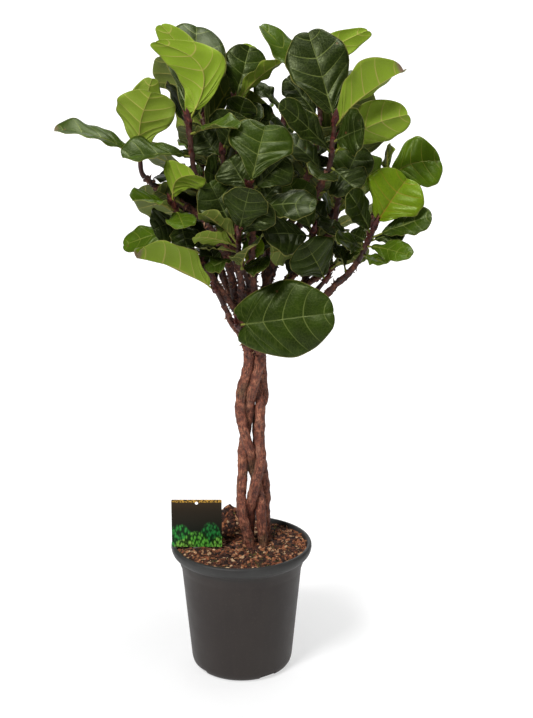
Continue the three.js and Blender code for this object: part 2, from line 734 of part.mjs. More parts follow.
function turnedLeaf(leaf, [heading, tilt]) {
  const { up, side } = frameOf(leaf);
  const spin = new THREE.Quaternion().setFromAxisAngle(up, rad(heading));
  spin.premultiply(new THREE.Quaternion().setFromAxisAngle(side, rad(tilt)));
  const root = vec(leaf.root);
  const tip = vec(leaf.tip).sub(root).applyQuaternion(spin).add(root);
  return { ...leaf, tip: tip.toArray(), face: vec(leaf.face).applyQuaternion(spin).toArray() };
}

function shootPath(name) {
  const limb = limbs[name].path;
  const foot = vec(limb.at(-1));
  const way = foot.clone().sub(vec(run(limb, limbStep).at(-2))).normalize();
  const tip = vec(shoots[name].tip);
  const on = tip.clone().sub(foot).normalize();
  return [
    foot.clone().addScaledVector(way, gap),
    foot.clone().addScaledVector(way, kneeRun),
    tip,
    tip.clone().addScaledVector(on, bud.length),
  ].map((p) => p.toArray());
}

function shootStem(name) {
  const [start, knee, tip, end] = shootPath(name);
  const stem = tube([start, knee, tip], shootRadius.foot, shootRadius.tip, twigSides);
  return stem.add(tube([tip, end], bud.foot, bud.tip, twigSides));
}

function boxesApart(a, b) {
  return [0, 1, 2].some((c) => a.min[c] > b.max[c] || b.min[c] > a.max[c]);
}

function meets(shape, others) {
  const bounds = shape.boundingBox();
  const near = others.filter((other) => !boxesApart(bounds, other.boundingBox()));
  return near.some((other) => !shape.intersect(other).isEmpty());
}

// The first turn that stands clear of every other node and, where it can, of its own shoot's blades.
function clearTurn(leaf, others, own) {
  let kept = null;
  for (const turn of turns) {
    const tried = turnedLeaf(leaf, turn);
    if (meets(leafShape(tried, room), others)) continue;
    if (!meets(leafShape(tried, 0, true), own)) return tried;
    kept = kept ?? tried;
  }
  return kept;
}

function growShoots() {
  const names = Object.keys(shoots);
  const nodes = Object.fromEntries(names.map((name) => [name, shootStem(name)]));
  const stems = { ...nodes };
  const blades = [];
  for (const name of names) {
    const [, knee, tip] = shootPath(name);
    const { grown } = shoots[name];
    const leaves = grown ? grownLeaves(knee, tip, grown) : shoots[name].leaves;
    for (const leaf of leaves) {
      const root = vec(knee).lerp(vec(tip), leaf.at).toArray();
      const others = Object.values(stemShapes);
      others.push(...names.filter((n) => n !== name).map((n) => stems[n]));
      others.push(...blades.filter((b) => b.name !== name).map((b) => b.whole));
      const own = blades.filter((b) => b.name === name).map((b) => b.blade);
      const placed = clearTurn({ ...plain, ...leaf, root }, others, own);
      if (!placed) continue;
      blades.push({ name, whole: leafShape(placed), blade: leafShape(placed, 0, true) });
      nodes[name] = nodes[name].add(leafShape(placed));
    }
  }
  return nodes;
}

// Colours are those of the real plant: bark, old and young leaves, peat, and a warm dark grey pot.
const potMesh = part('pot', potShape(), '#413d39', 0.6);
const soilMesh = part('soil', soilShape(), '#5a3a26', 1);
const tagMesh = part('plant_tag', cardShape(), '#2e3a20', 0.5);
tagMesh.position.set(...tag.place);

const stems = new THREE.Group();
for (const [name, shape] of Object.entries(stemShapes)) stems.add(part(name, shape, '#5f4031', 0.85));

const youngShoots = ['left_upper', 'left_lower'];
const crown = new THREE.Group();
for (const [name, shape] of Object.entries(growShoots())) {
  const color = youngShoots.includes(name) ? '#7f9c3a' : '#36502a';
  crown.add(part(`shoot_${name}`, shape, color, 0.45));
}

const group = new THREE.Group();
group.add(potMesh, soilMesh, tagMesh, stems, crown);

export default group;
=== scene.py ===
# Potted fiddle leaf fig: a braided standard in a dark nursery pot.
# Metres, +Z up, +Y away from the viewer, origin at the centre of the pot's base. Given sizes are in mm.
import math
import random
from collections import namedtuple
from copy import copy

import bmesh
import bpy
import numpy as np
from mathutils import Matrix, Vector, bvhtree, kdtree, noise


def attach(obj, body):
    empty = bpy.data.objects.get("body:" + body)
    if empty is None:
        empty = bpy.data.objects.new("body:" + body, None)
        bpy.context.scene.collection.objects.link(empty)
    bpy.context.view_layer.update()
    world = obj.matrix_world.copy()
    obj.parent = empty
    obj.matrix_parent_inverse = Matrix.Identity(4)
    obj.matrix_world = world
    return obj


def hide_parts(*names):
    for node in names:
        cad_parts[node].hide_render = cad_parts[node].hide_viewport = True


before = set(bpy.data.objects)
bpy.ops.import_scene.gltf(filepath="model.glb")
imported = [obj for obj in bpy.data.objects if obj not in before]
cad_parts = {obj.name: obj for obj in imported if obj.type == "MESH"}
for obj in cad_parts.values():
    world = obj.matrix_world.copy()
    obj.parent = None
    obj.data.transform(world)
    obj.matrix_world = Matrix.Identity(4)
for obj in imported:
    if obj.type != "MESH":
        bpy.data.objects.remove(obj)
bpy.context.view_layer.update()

# Pot: a nursery pot of thin moulded plastic, warm dark grey, with a lighter, cooler grey painted on the lip
# as its sheen. The lip is rolled over outwards, the foot is rounded, and four drain notches are moulded in
# under its edge.
MM = 0.001
pot_turns = 160
pot_outside = [
    (0, 0.4), (70, 0.4), (76, 0), (84, 0.2), (88.5, 1.6), (92.5, 4.6), (95.6, 9.5), (97, 14), (98, 19),
    (115, 198), (116, 203), (118.5, 210), (121.4, 222), (122.6, 225.4), (125.4, 226.6), (129, 229.2),
    (132, 233), (134, 237.5), (135, 243), (134.6, 246.5), (133.2, 248.9), (131, 250),
]
pot_inside = [
    (128, 249.6), (126.6, 247.6), (126, 244), (125.6, 236), (124.6, 230), (120, 222), (116, 208),
    (113, 198), (96, 19), (91, 9), (84, 5), (78, 2), (0, 2),
]
lip_starts, lip_full = 214, 234
drain_count, drain_turn = 4, -56
drain_place, drain_size = (98, 0, 0), (30, 36, 20)
sharp_edge = math.radians(50)


def srgb(*levels):
    """A colour as it looks on a screen, 0 to 255, as the shader's linear one."""
    return tuple(((c / 255 + 0.055) / 1.055) ** 2.4 if c > 10 else c / 255 / 12.92 for c in levels) + (1,)


def feed(made, inputs):
    """Sets inputs of a node, each to a value or to another node's output."""
    for key, value in inputs.items():
        if isinstance(value, bpy.types.NodeSocket):
            made.id_data.links.new(value, made.inputs[key])
        else:
            made.inputs[key].default_value = value


def node(near, kind, inputs=None, **settings):
    """A new node in the tree given, or in the one that a node's output given belongs to."""
    made = near.id_data.nodes.new(kind)
    for name, value in settings.items():
        setattr(made, name, value)
    feed(made, inputs or {})
    return made


def mixed(share, first, second):
    return node(share, "ShaderNodeMix", {0: share, 6: first, 7: second}, data_type="RGBA").outputs[2]


def number(operation, first, second):
    return node(first, "ShaderNodeMath", {0: first, 1: second}, operation=operation).outputs[0]


def times(first, second):
    return number("MULTIPLY", first, second)


def spread(value, low, high, bottom=0.0, top=1.0):
    """The value between low and high, stretched to run from bottom to top."""
    return node(value, "ShaderNodeMapRange", {0: value, 1: low, 2: high, 3: bottom, 4: top}).outputs[0]


def stained(colour, value, reach, levels):
    """Lays a tone over a colour; reach holds the value's low and high end, and the share at each."""
    return mixed(spread(value, *reach), colour, srgb(*levels))


def ramp(value, *stops):
    """A run of colours along a value, each stop its place and its three screen levels."""
    made = node(value, "ShaderNodeValToRGB", {0: value})
    elements = made.color_ramp.elements
    while len(elements) < len(stops):
        elements.new(0.5)
    for element, (place, *levels) in zip(elements, stops):
        element.position = place
        element.color = srgb(*levels)
    return made.outputs[0]


def cloud(where, scale, detail=3.0, stretch=(1, 1, 1)):
    """A soft random pattern from 0 to 1, drawn out along an axis where stretch is under 1."""
    placed = node(where, "ShaderNodeMapping", {0: where, "Scale": stretch}).outputs[0]
    return node(where, "ShaderNodeTexNoise", {"Vector": placed, "Scale": scale, "Detail": detail}).outputs[0]


def finish(name):
    """A new material and the place on the piece, which its patterns start from."""
    made = bpy.data.materials.new(name)
    made.use_nodes = True
    return made, node(made.node_tree, "ShaderNodeTexCoord").outputs["Object"]


def coat(material, colour, rough, *heights, shine=0.5, tint=(1, 1, 1, 1)):
    """Gives a material its colour and gloss, and patterns in relief, each with its depth in metres."""
    inputs = {"Base Color": colour, "Roughness": rough, "Specular IOR Level": shine, "Specular Tint": tint}
    normal = {}
    for height, depth in heights:
        made = node(height, "ShaderNodeBump", {"Height": height, "Distance": depth, **normal})
        normal = {"Normal": made.outputs[0]}
    feed(material.node_tree.nodes["Principled BSDF"], {**inputs, **normal})


def piece(name, points, faces, materials, smooth=True):
    """A mesh object of points in mm, its place in its mesh."""
    mesh = bpy.data.meshes.new(name)
    mesh.from_pydata((np.asarray(points, float) * MM).tolist(), [], faces)
    mesh.polygons.foreach_set("use_smooth", [smooth] * len(mesh.polygons))
    for material in materials:
        mesh.materials.append(material)
    made = bpy.data.objects.new(name, mesh)
    bpy.context.scene.collection.objects.link(made)
    return made


def lathe(profile, turns, lift=None):
    """Points and faces of a body turned about the pot's axis, from its bottom centre to its top centre."""
    points = [(0, 0, profile[0][1])]
    for radius, z in profile[1:-1]:
        for i in range(turns):
            angle = 2 * math.pi * i / turns
            points.append((radius * math.cos(angle), radius * math.sin(angle), z))
    points.append((0, 0, profile[-1][1]))
    if lift:
        points = [(x, y, z + lift(x, y, z)) for x, y, z in points]
    faces = []
    rings = len(profile) - 2
    last = len(points) - 1
    for i in range(turns):
        j = (i + 1) % turns
        faces.append((0, 1 + j, 1 + i))
        for r in range(rings - 1):
            near = 1 + r * turns
            far = near + turns
            faces.append((near + i, near + j, far + j, far + i))
        top = 1 + (rings - 1) * turns
        faces.append((top + i, top + j, last))
    return points, faces


def block(centre, size, turn):
    """Corners and faces of a box, turned about the pot's axis."""
    spin = Matrix.Rotation(math.radians(turn), 3, "Z")
    points = []
    for x in (-0.5, 0.5):
        for y in (-0.5, 0.5):
            for z in (-0.5, 0.5):
                corner = Vector((centre[0] + x * size[0], centre[1] + y * size[1], centre[2] + z * size[2]))
                points.append(tuple(spin @ corner))
    faces = [(0, 1, 3, 2), (4, 6, 7, 5), (0, 4, 5, 1), (2, 3, 7, 6), (0, 2, 6, 4), (1, 5, 7, 3)]
    return points, faces


def baked(made):
    """Turns an object's modifiers into its mesh."""
    depsgraph = bpy.context.evaluated_depsgraph_get()
    mesh = bpy.data.meshes.new_from_object(made.evaluated_get(depsgraph))
    made.modifiers.clear()
    made.data = mesh


def cut_out(made, points, faces):
    """Cuts a closed shape out of an object."""
    tool = piece("tool", points, faces, [])
    cut = made.modifiers.new("cut", "BOOLEAN")
    cut.object = tool
    cut.solver = "EXACT"
    baked(made)
    bpy.data.objects.remove(tool)


pot_plastic, where = finish("pot_plastic")
height = node(where, "ShaderNodeSeparateXYZ", {0: where}).outputs[2]
streaks = cloud(where, 60, 2, (1, 1, 0.04))
wall_tone = ramp(cloud(where, 9, 4), (0.3, 46, 40, 38), (0.7, 52, 46, 43))
wall_tone = stained(wall_tone, streaks, (0.5, 0.75, 0, 0.12), (66, 58, 53))
# Painted sheen: the rolled lip is painted a lighter, cooler grey than the wall, for the light it catches.
lip_sheen_tone = ramp(cloud(where, 30, 4), (0.3, 50, 49, 48), (0.7, 60, 60, 59))
colour = mixed(spread(height, lip_starts * MM, lip_full * MM), wall_tone, lip_sheen_tone)
dusty = stained(colour, cloud(where, 240, 5), (0.6, 0.72, 0, 0.1), (96, 86, 78))
coat(pot_plastic, dusty, spread(cloud(where, 35, 4), 0.3, 0.7, 0.46, 0.54),
     (cloud(where, 1400, 2), 0.00006), (streaks, 0.00008), shine=0.24)

pot = piece("nursery_pot", *lathe(pot_outside + pot_inside, pot_turns), [pot_plastic])
for i in range(drain_count):
    cut_out(pot, *block(drain_place, drain_size, drain_turn + 360 / drain_count * i))
pot.data.set_sharp_from_angle(angle=sharp_edge)
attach(pot, "root")
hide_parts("pot")

# Soil: dark peat with bark chips, wood fibres, pale bits and a little moss, filled in to just under the
# lip and heaped up behind the trunk on the left. The chips lie loose on top, sunk in a little.
soil_top, soil_step, soil_edge = 244, 243, 241
soil_lip, soil_turns, ring_step = 124.7, 144, 2.6
soil_gap = 0.3
heap_reach, top_reach, step_reach = 126, 95, 115
mounds = [(-27, 84, 30, 52), (70, 50, 30, 5), (-84, -34, 26, 5), (45, -70, 34, 4), (90, -20, 24, 3)]


def soil_lift(x, y, z):
    """How far the soil's top stands over its level: the heaps, and crumbs of two sizes."""
    if z < soil_edge:
        return 0
    near = max(0, 1 - (math.hypot(x, y) / heap_reach) ** 6)
    heaps = sum(h * math.exp(-((x - mx) ** 2 + (y - my) ** 2) / size ** 2) for mx, my, size, h in mounds)
    crumbs = 3 * noise.noise(Vector((x, y, 0)) / 10) + 1.6 * noise.noise(Vector((x, y, 40)) / 3.5)
    crumbs += 0.1 * heaps * noise.noise(Vector((x, y, 90)) / 14)
    return near * (heaps + crumbs)


soil_foot = [(radius - soil_gap, z + soil_gap) for radius, z in reversed(pot_inside)
             if 0 < radius and z < soil_edge]
soil_rings = [
    (radius, soil_top if radius < top_reach else soil_step if radius < step_reach else soil_edge + 1)
    for radius in np.arange(soil_lip - 3, 1, -ring_step)]
soil_profile = [(0, 2 + soil_gap)] + soil_foot + [(soil_lip, soil_edge)] + soil_rings + [(0, soil_top)]

soil_finish, where = finish("soil")
crumbs = cloud(where, 260, 6)
colour = ramp(crumbs, (0.34, 16, 9, 8), (0.5, 50, 28, 20), (0.6, 100, 60, 42), (0.7, 150, 98, 66))
moss = times(spread(cloud(where, 28, 3), 0.52, 0.62), spread(crumbs, 0.45, 0.6))
coat(soil_finish, mixed(moss, colour, srgb(88, 88, 38)), 0.95,
     (crumbs, 0.004), (cloud(where, 900, 3), 0.0008))

soil = piece("peat", *lathe(soil_profile, soil_turns, soil_lift), [soil_finish])
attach(soil, "root")
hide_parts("soil")


def mark(where, name):
    """A value that the piece's mesh holds at its points."""
    return node(where, "ShaderNodeAttribute", attribute_name=name).outputs["Fac"]


def vector(operation, first, second):
    return node(first, "ShaderNodeVectorMath", {0: first, 1: second}, operation=operation).outputs[0]


chip_finish, where = finish("bark_chips")
fibre = cloud(where, 700, 4)
colour = ramp(mark(where, "tone"), (0, 26, 14, 11), (0.35, 80, 42, 28), (0.6, 142, 80, 50),
              (0.85, 194, 126, 82), (0.97, 230, 192, 148))
coat(chip_finish, stained(colour, fibre, (0.35, 0.65, 0, 0.5), (48, 30, 22)), 0.85, (fibre, 0.0006))

moss_finish, where = finish("moss")
colour = ramp(mark(where, "tone"), (0, 60, 62, 24), (0.6, 96, 98, 40), (1, 138, 134, 62))
coat(moss_finish, colour, 0.9, (cloud(where, 1200, 3), 0.0006))


def scattered(name, base, shape, material, density, seed, low, high, tilt, floor, patch=None):
    """Small copies of one shape strewn over a base, each with its own size, turn and tone.

    low and high bound a copy's three sizes in mm, tilt its lean in degrees, floor the lowest height in
    mm where any lie, and patch the scale and the threshold of the places that they keep to."""
    tree = bpy.data.node_groups.new(name, "GeometryNodeTree")
    tree.interface.new_socket("Geometry", in_out="INPUT", socket_type="NodeSocketGeometry")
    sizes = {}
    for label, kind, value in (("Density", "Float", density), ("Seed", "Int", seed),
                               ("Low", "Vector", [c * MM for c in low]),
                               ("High", "Vector", [c * MM for c in high]),
                               ("Tilt", "Float", math.radians(tilt))):
        socket = tree.interface.new_socket(label, in_out="INPUT", socket_type="NodeSocket" + kind)
        sizes[socket.identifier] = value
    tree.interface.new_socket("Geometry", in_out="OUTPUT", socket_type="NodeSocketGeometry")
    given = node(tree, "NodeGroupInput").outputs
    place = node(tree, "GeometryNodeInputPosition").outputs[0]
    height = node(tree, "ShaderNodeSeparateXYZ", {0: place}).outputs[2]
    chosen = number("GREATER_THAN", height, floor * MM)
    if patch:
        pattern = node(tree, "ShaderNodeTexNoise", {"Vector": place, "Scale": patch[0]}).outputs[0]
        chosen = times(chosen, number("GREATER_THAN", pattern, patch[1]))
    strewn = node(tree, "GeometryNodeDistributePointsOnFaces", {
        "Mesh": given["Geometry"], "Selection": chosen, "Density": given["Density"], "Seed": given["Seed"]})
    size = node(tree, "FunctionNodeRandomValue", {0: given["Low"], 1: given["High"], "Seed": given["Seed"]},
                data_type="FLOAT_VECTOR")
    lean = node(tree, "ShaderNodeCombineXYZ", {0: given["Tilt"], 1: given["Tilt"], 2: math.pi}).outputs[0]
    back = vector("MULTIPLY", lean, (-1, -1, -1))
    turn = node(tree, "FunctionNodeRandomValue", {0: back, 1: lean, "Seed": given["Seed"]},
                data_type="FLOAT_VECTOR")
    turn = node(tree, "FunctionNodeEulerToRotation", {0: turn.outputs[0]}).outputs[0]
    aimed = node(tree, "FunctionNodeRotateRotation", {0: strewn.outputs["Rotation"], 1: turn},
                 rotation_space="LOCAL").outputs[0]
    copies = node(tree, "GeometryNodeInstanceOnPoints", {
        "Points": strewn.outputs["Points"], "Instance": node(tree, *shape).outputs["Mesh"],
        "Rotation": aimed, "Scale": size.outputs[0]}).outputs[0]
    tone = node(tree, "FunctionNodeRandomValue", {"Seed": seed + 1}, data_type="FLOAT").outputs[1]
    toned = node(tree, "GeometryNodeStoreNamedAttribute", {"Geometry": copies, "Name": "tone", "Value": tone},
                 data_type="FLOAT", domain="INSTANCE").outputs[0]
    real = node(tree, "GeometryNodeRealizeInstances", {0: toned}).outputs[0]
    dressed = node(tree, "GeometryNodeSetMaterial", {"Geometry": real, "Material": material}).outputs[0]
    node(tree, "NodeGroupOutput", {"Geometry": dressed})
    made = bpy.data.objects.new(name, base.data.copy())
    bpy.context.scene.collection.objects.link(made)
    grown = made.modifiers.new(name, "NODES")
    grown.node_group = tree
    for identifier, value in sizes.items():
        grown[identifier] = value
    baked(made)
    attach(made, "root")
    return made


lump = ("GeometryNodeMeshIcoSphere", {"Radius": 0.5, "Subdivisions": 1})
slab = ("GeometryNodeMeshCube", {"Size": (1, 1, 1)})
rod = ("GeometryNodeMeshCylinder", {"Vertices": 5, "Radius": 0.5, "Depth": 1.0})
litter_floor = 239
moss_patch = (26, 0.56)
for name, shape, material, density, seed, low, high, tilt, patch in (
        ("bark_chips", lump, chip_finish, 21000, 3, (4, 3, 1.5), (13, 9, 5), 35, None),
        ("bark_splinters", slab, chip_finish, 9000, 5, (6, 2, 1), (18, 6, 2.5), 28, None),
        ("wood_fibres", rod, chip_finish, 4500, 8, (0.5, 0.5, 6), (1.1, 1.1, 20), 160, None),
        ("moss_tufts", lump, moss_finish, 42000, 11, (1, 1, 0.8), (3.4, 3.4, 2.2), 40, moss_patch)):
    litter = scattered(name, soil, shape, material, density, seed, low, high, tilt, litter_floor, patch)

# Stems: four woody stems that cross over and under one another in a loose braid, and run on upwards as
# the thinner, darker limbs of the crown. Bark with faint rings and pale pores; dry scales on the limbs.
strand_radius = 9
levels = [640, 600, 555, 530, 505, 452, 425, 395, 340, 300, 235, 150]
strands = {
    "stem_left": [
        [15, -8], [14, -9], [2, -11], [-1, -12], [0, -13], [12, -14],
        [21, -2], [22, 11], [35, 2], [38, -6], [43, -9], [46, -11],
    ],
    "stem_right": [
        [36, -9], [34, -9], [21, -10], [17, -5], [15, 4], [6, 10],
        [3, 8], [3, -4], [0, -9], [4, -15], [19, -15], [20, -17],
    ],
    "stem_back_left": [
        [18, 12], [21, 11], [26, 10], [36, 3], [36, -8], [35, -9],
        [38, -11], [32, -13], [20, -11], [17, 8], [13, 8], [10, 9],
    ],
    "stem_back_right": [
        [37, 14], [38, 20], [41, 22], [42, 21], [32, 17], [31, 15],
        [34, 15], [40, 19], [46, 20], [45, 17], [49, 14], [52, 14],
    ],
}

# Each limb has its stem, its radius where it leaves and where it ends, and the points it runs through.
Limb = namedtuple("Limb", "stem thick thin path")
limbs = {
    "left_top": Limb("stem_left", 8.5, 5.2, [
        (15, -8, 632), (6, -10, 665), (-3, -20, 705), (-12, -32, 755), (-26, -46, 830), (-42, -56, 890),
        (-64, -60, 928), (-75, -60, 955),
    ]),
    "left_upper": Limb("stem_left", 6.5, 5, [
        (-24, -44, 816), (-50, -46, 858), (-75, -46, 888), (-110, -45, 910), (-140, -41, 928),
        (-165, -40, 950),
    ]),
    "left_middle": Limb("stem_left", 6, 4.8, [
        (-2, -18, 698), (-14, -38, 722), (-34, -52, 752), (-60, -60, 795), (-80, -62, 820),
        (-90, -62, 850),
    ]),
    "left_lower": Limb("stem_left", 6, 4.8, [
        (12, -9, 646), (-2, -24, 667), (-15, -34, 688), (-29, -42, 722),
    ]),
    "front_middle": Limb("stem_left", 6, 4.8, [
        (-3, -20, 706), (2, -42, 740), (2, -62, 772), (0, -80, 805),
    ]),
    "right_middle": Limb("stem_right", 8, 5, [
        (36, -9, 632), (42, -12, 655), (62, -18, 674), (110, -25, 703), (150, -29, 734),
        (173, -31, 757), (195, -34, 778), (212, -38, 802),
    ]),
    "front_lower": Limb("stem_right", 5.5, 4.8, [
        (112, -25, 704), (124, -24, 726), (139, -25, 746),
    ]),
    "bottom_front": Limb("stem_right", 5, 4.5, [
        (35, -11, 626), (25, -26, 642), (12, -36, 658), (5, -40, 670),
    ]),
    "front_top": Limb("stem_right", 6, 4.8, [
        (40, -11, 646), (37, -24, 690), (28, -42, 740), (22, -62, 805), (25, -84, 865), (25, -100, 905),
    ]),
    "front_right": Limb("stem_right", 6, 4.8, [
        (42, -11, 650), (46, -13, 670), (56, -18, 710), (75, -28, 745), (110, -40, 790),
    ]),
    "inner_low": Limb("stem_back_left", 6, 4.8, [
        (18, 12, 632), (17, 4, 680), (15, -8, 715), (15, -20, 750),
    ]),
    "inner_left": Limb("stem_back_left", 7.5, 4.8, [
        (18, 12, 632), (12, 13, 710), (-4, 10, 775), (-20, 5, 840), (-25, 0, 895),
    ]),
    "middle_top": Limb("stem_back_left", 6, 4.8, [
        (13, 13, 695), (18, 22, 740), (15, 26, 830), (5, 30, 940), (-5, 30, 1010),
    ]),
    "back_top": Limb("stem_back_left", 6, 4.8, [
        (14, 13, 688), (22, 45, 745), (45, 80, 820), (65, 95, 915), (75, 100, 985),
    ]),
    "back_left_low": Limb("stem_back_left", 6, 4.8, [
        (16, 13, 660), (-8, 45, 695), (-30, 90, 735), (-55, 130, 790),
    ]),
    "back_left_middle": Limb("stem_back_left", 5.5, 4.8, [
        (-18, 66, 712), (-38, 85, 770), (-57, 105, 840), (-72, 120, 895),
    ]),
    "back_left_top": Limb("stem_back_left", 5.5, 4.8, [
        (-4, 10, 775), (-18, 45, 830), (-40, 85, 915), (-60, 115, 990),
    ]),
    "back_middle_top": Limb("stem_back_left", 5.5, 4.8, [
        (45, 80, 820), (36, 108, 855), (38, 128, 885), (40, 142, 920),
    ]),
    "right_inner": Limb("stem_back_right", 6.5, 4.8, [
        (38, 16, 650), (60, 22, 705), (85, 20, 755), (125, 15, 805), (165, 10, 845),
    ]),
    "right_top": Limb("stem_back_right", 8, 5.2, [
        (37, 14, 632), (41, 28, 715), (62, 16, 795), (110, -18, 870), (138, -32, 925), (155, -40, 960),
    ]),
    "right_back_top": Limb("stem_back_right", 6.5, 4.8, [
        (41, 28, 715), (58, 36, 765), (80, 42, 825), (120, 42, 935), (140, 40, 1010),
    ]),
    "right_upper": Limb("stem_back_right", 7, 4.8, [
        (37, 14, 636), (47, 20, 665), (75, 30, 700), (110, 40, 735), (185, 55, 785), (225, 58, 830),
        (245, 60, 870),
    ]),
    "back_middle_low": Limb("stem_back_right", 6, 4.8, [
        (39, 19, 668), (46, 60, 705), (50, 110, 745), (50, 150, 800),
    ]),
    "back_middle": Limb("stem_back_right", 5.5, 4.8, [
        (48, 85, 724), (40, 120, 790), (32, 150, 850), (30, 165, 900),
    ]),
    "back_right_low": Limb("stem_back_right", 5.5, 4.8, [
        (75, 30, 700), (105, 65, 725), (130, 100, 760), (150, 130, 800),
    ]),
    "back_right_middle": Limb("stem_back_right", 5.5, 4.8, [
        (110, 40, 735), (140, 80, 790), (165, 115, 845), (185, 140, 890),
    ]),
    "back_right_top": Limb("stem_back_right", 5.5, 4.8, [
        (80, 42, 825), (102, 80, 870), (122, 105, 915), (138, 120, 960),
    ]),
}
bark_over = 0.6
strand_step, strand_sides, strand_rough = 4, 28, 1.7
limb_step, limb_sides, limb_rough = 5, 18, 2.2
stem_top, top_round = 640, 7
crown_starts, crown_rise = 600, 150
uneven_share, ring_swell, knot_swell, fork_swell = 0.035, 0.05, 0.26, 0.28


def run(points, step):
    """A smooth path through the points, in steps of about the length given."""
    points = [Vector(p) for p in points]
    last = len(points) - 1
    path = []
    for i in range(last):
        a, b, c, d = points[max(i - 1, 0)], points[i], points[i + 1], points[min(i + 2, last)]
        pieces = max(1, math.floor((c - b).length / step + 0.5))
        for k in range(pieces):
            t = k / pieces
            path.append(0.5 * (2 * b + (c - a) * t + (2 * a - 5 * b + 4 * c - d) * t ** 2
                               + (3 * b - a - 3 * c + d) * t ** 3))
    return path + [points[-1]]


class Shape:
    """Points in mm with marks on them, and faces with a flat place in metres for each corner."""

    def __init__(self, *marks):
        self.points, self.faces, self.flat, self.kinds = [], [], [], []
        self.marks = {mark: [] for mark in marks}

    def add(self, points, faces, flat, kind=0, **marks):
        """Adds a body; a mark is one value or one for each point, and kind the number of its material."""
        first = len(self.points)
        self.points.extend(points)
        self.faces.extend([first + i for i in face] for face in faces)
        self.flat.extend(flat)
        self.kinds.extend([kind] * len(faces))
        for mark, values in self.marks.items():
            given = marks.get(mark, 0.0)
            values.extend(given if hasattr(given, "__len__") else [given] * len(points))

    def made(self, name, materials):
        built = piece(name, self.points, self.faces, materials)
        built.data.polygons.foreach_set("material_index", self.kinds)
        flat = built.data.uv_layers.new(name="flat")
        flat.data.foreach_set("uv", np.asarray(self.flat, np.float32).ravel())
        for mark, values in self.marks.items():
            marked = built.data.attributes.new(mark, "FLOAT", "POINT")
            marked.data.foreach_set("value", np.asarray(values, np.float32))
        return built


def tube(shape, path, radii, sides, rough=0.0, seed=0.0, kind=0, **marks):
    """A round rod along a path, its skin uneven by rough mm; marks are single values or one per ring."""
    last = len(path) - 1
    across = Vector((1, 0, 0))
    gone = 0.0
    points, along_by, rings = [], [], {mark: [] for mark in marks}
    for i, centre in enumerate(path):
        along = (path[min(i + 1, last)] - path[max(i - 1, 0)]).normalized()
        across = (across - along * across.dot(along)).normalized()
        over = along.cross(across)
        if i:
            gone += (centre - path[i - 1]).length
        along_by.append(gone * MM)
        for k in range(sides):
            a = 2 * math.pi * k / sides
            way = across * math.cos(a) + over * math.sin(a)
            round_about = Vector((math.cos(a), math.sin(a), gone / 14 + seed))
            uneven = noise.noise(round_about) + 0.5 * noise.noise(3 * round_about) if rough else 0
            points.append(centre + way * (radii[i] + rough * uneven))
        for mark, given in marks.items():
            rings[mark].extend([given[i] if hasattr(given, "__len__") else given] * sides)
    foot, top = len(points), len(points) + 1
    points += [path[0], path[last]]
    for values in rings.values():
        values.extend([values[0], values[-1]])
    around = 2 * math.pi * max(radii) * MM / sides
    faces, flat = [], []
    for i in range(last):
        for k in range(sides):
            a, n = i * sides, (k + 1) % sides
            faces.append((a + k, a + n, a + sides + n, a + sides + k))
            flat += [(around * k, along_by[i]), (around * (k + 1), along_by[i]),
                     (around * (k + 1), along_by[i + 1]), (around * k, along_by[i + 1])]
    for k in range(sides):
        n = (k + 1) % sides
        faces += [(foot, n, k), (top, last * sides + k, last * sides + n)]
        flat += [(around * k, 0)] * 3 + [(around * k, gone * MM)] * 3
    shape.add([tuple(p) for p in points], faces, flat, kind, **rings)


def cells(where, scale, feature="F1"):
    """How far each place lies from the nearest of many strewn points, or from the edge between two."""
    made = node(where, "ShaderNodeTexVoronoi", {"Vector": where, "Scale": scale}, feature=feature)
    return made.outputs["Distance"]


bark, where = finish("bark")
flat_place = node(where, "ShaderNodeUVMap", uv_map="flat").outputs[0]
in_crown = mark(where, "crown")
mottled = cloud(where, 95, 6)
pits = cloud(where, 420, 3)
grain = cloud(flat_place, 420, 4, (1, 0.16, 1))
rings = cloud(flat_place, 260, 3, (0.12, 1, 1))
pores = spread(cells(flat_place, 260), 0.1, 0.2, 1, 0)
colour = ramp(mottled, (0.3, 92, 46, 33), (0.5, 142, 80, 58), (0.7, 192, 126, 95))
colour = stained(colour, cloud(where, 22, 4), (0.54, 0.68, 0, 0.55), (92, 84, 52))
colour = stained(colour, cloud(where, 48, 4), (0.56, 0.7, 0, 0.4), (158, 120, 98))
colour = stained(colour, pits, (0.34, 0.46, 0.75, 0), (46, 21, 16))
colour = stained(colour, grain, (0.38, 0.52, 0.75, 0), (48, 22, 16))
limb_tone = ramp(mottled, (0.3, 34, 15, 10), (0.52, 80, 41, 28), (0.7, 136, 84, 58))
colour = mixed(in_crown, colour, limb_tone)
colour = stained(colour, rings, (0.6, 0.7, 0, 0.42), (48, 22, 17))
pale = times(pores, spread(in_crown, 0, 1, 0.55, 0.2))
coat(bark, mixed(pale, colour, srgb(172, 136, 112)), spread(mottled, 0.3, 0.7, 0.55, 0.8),
     (mottled, 0.006), (pits, 0.002), (grain, 0.002), (rings, -0.001), (pores, 0.0004))

scale_finish, where = finish("dry_scale")
colour = ramp(mark(where, "tone"), (0, 44, 22, 20), (0.5, 78, 40, 30), (0.85, 126, 82, 56),
              (1, 176, 140, 104))
coat(scale_finish, colour, 0.7, (cloud(where, 900, 3, (1, 1, 0.1)), 0.0005))


def crown_marks(path):
    """How far each point of a path belongs to the crown, from 0 on the trunk to 1."""
    return [min(1, max(0, (p.z - crown_starts) / crown_rise)) for p in path]


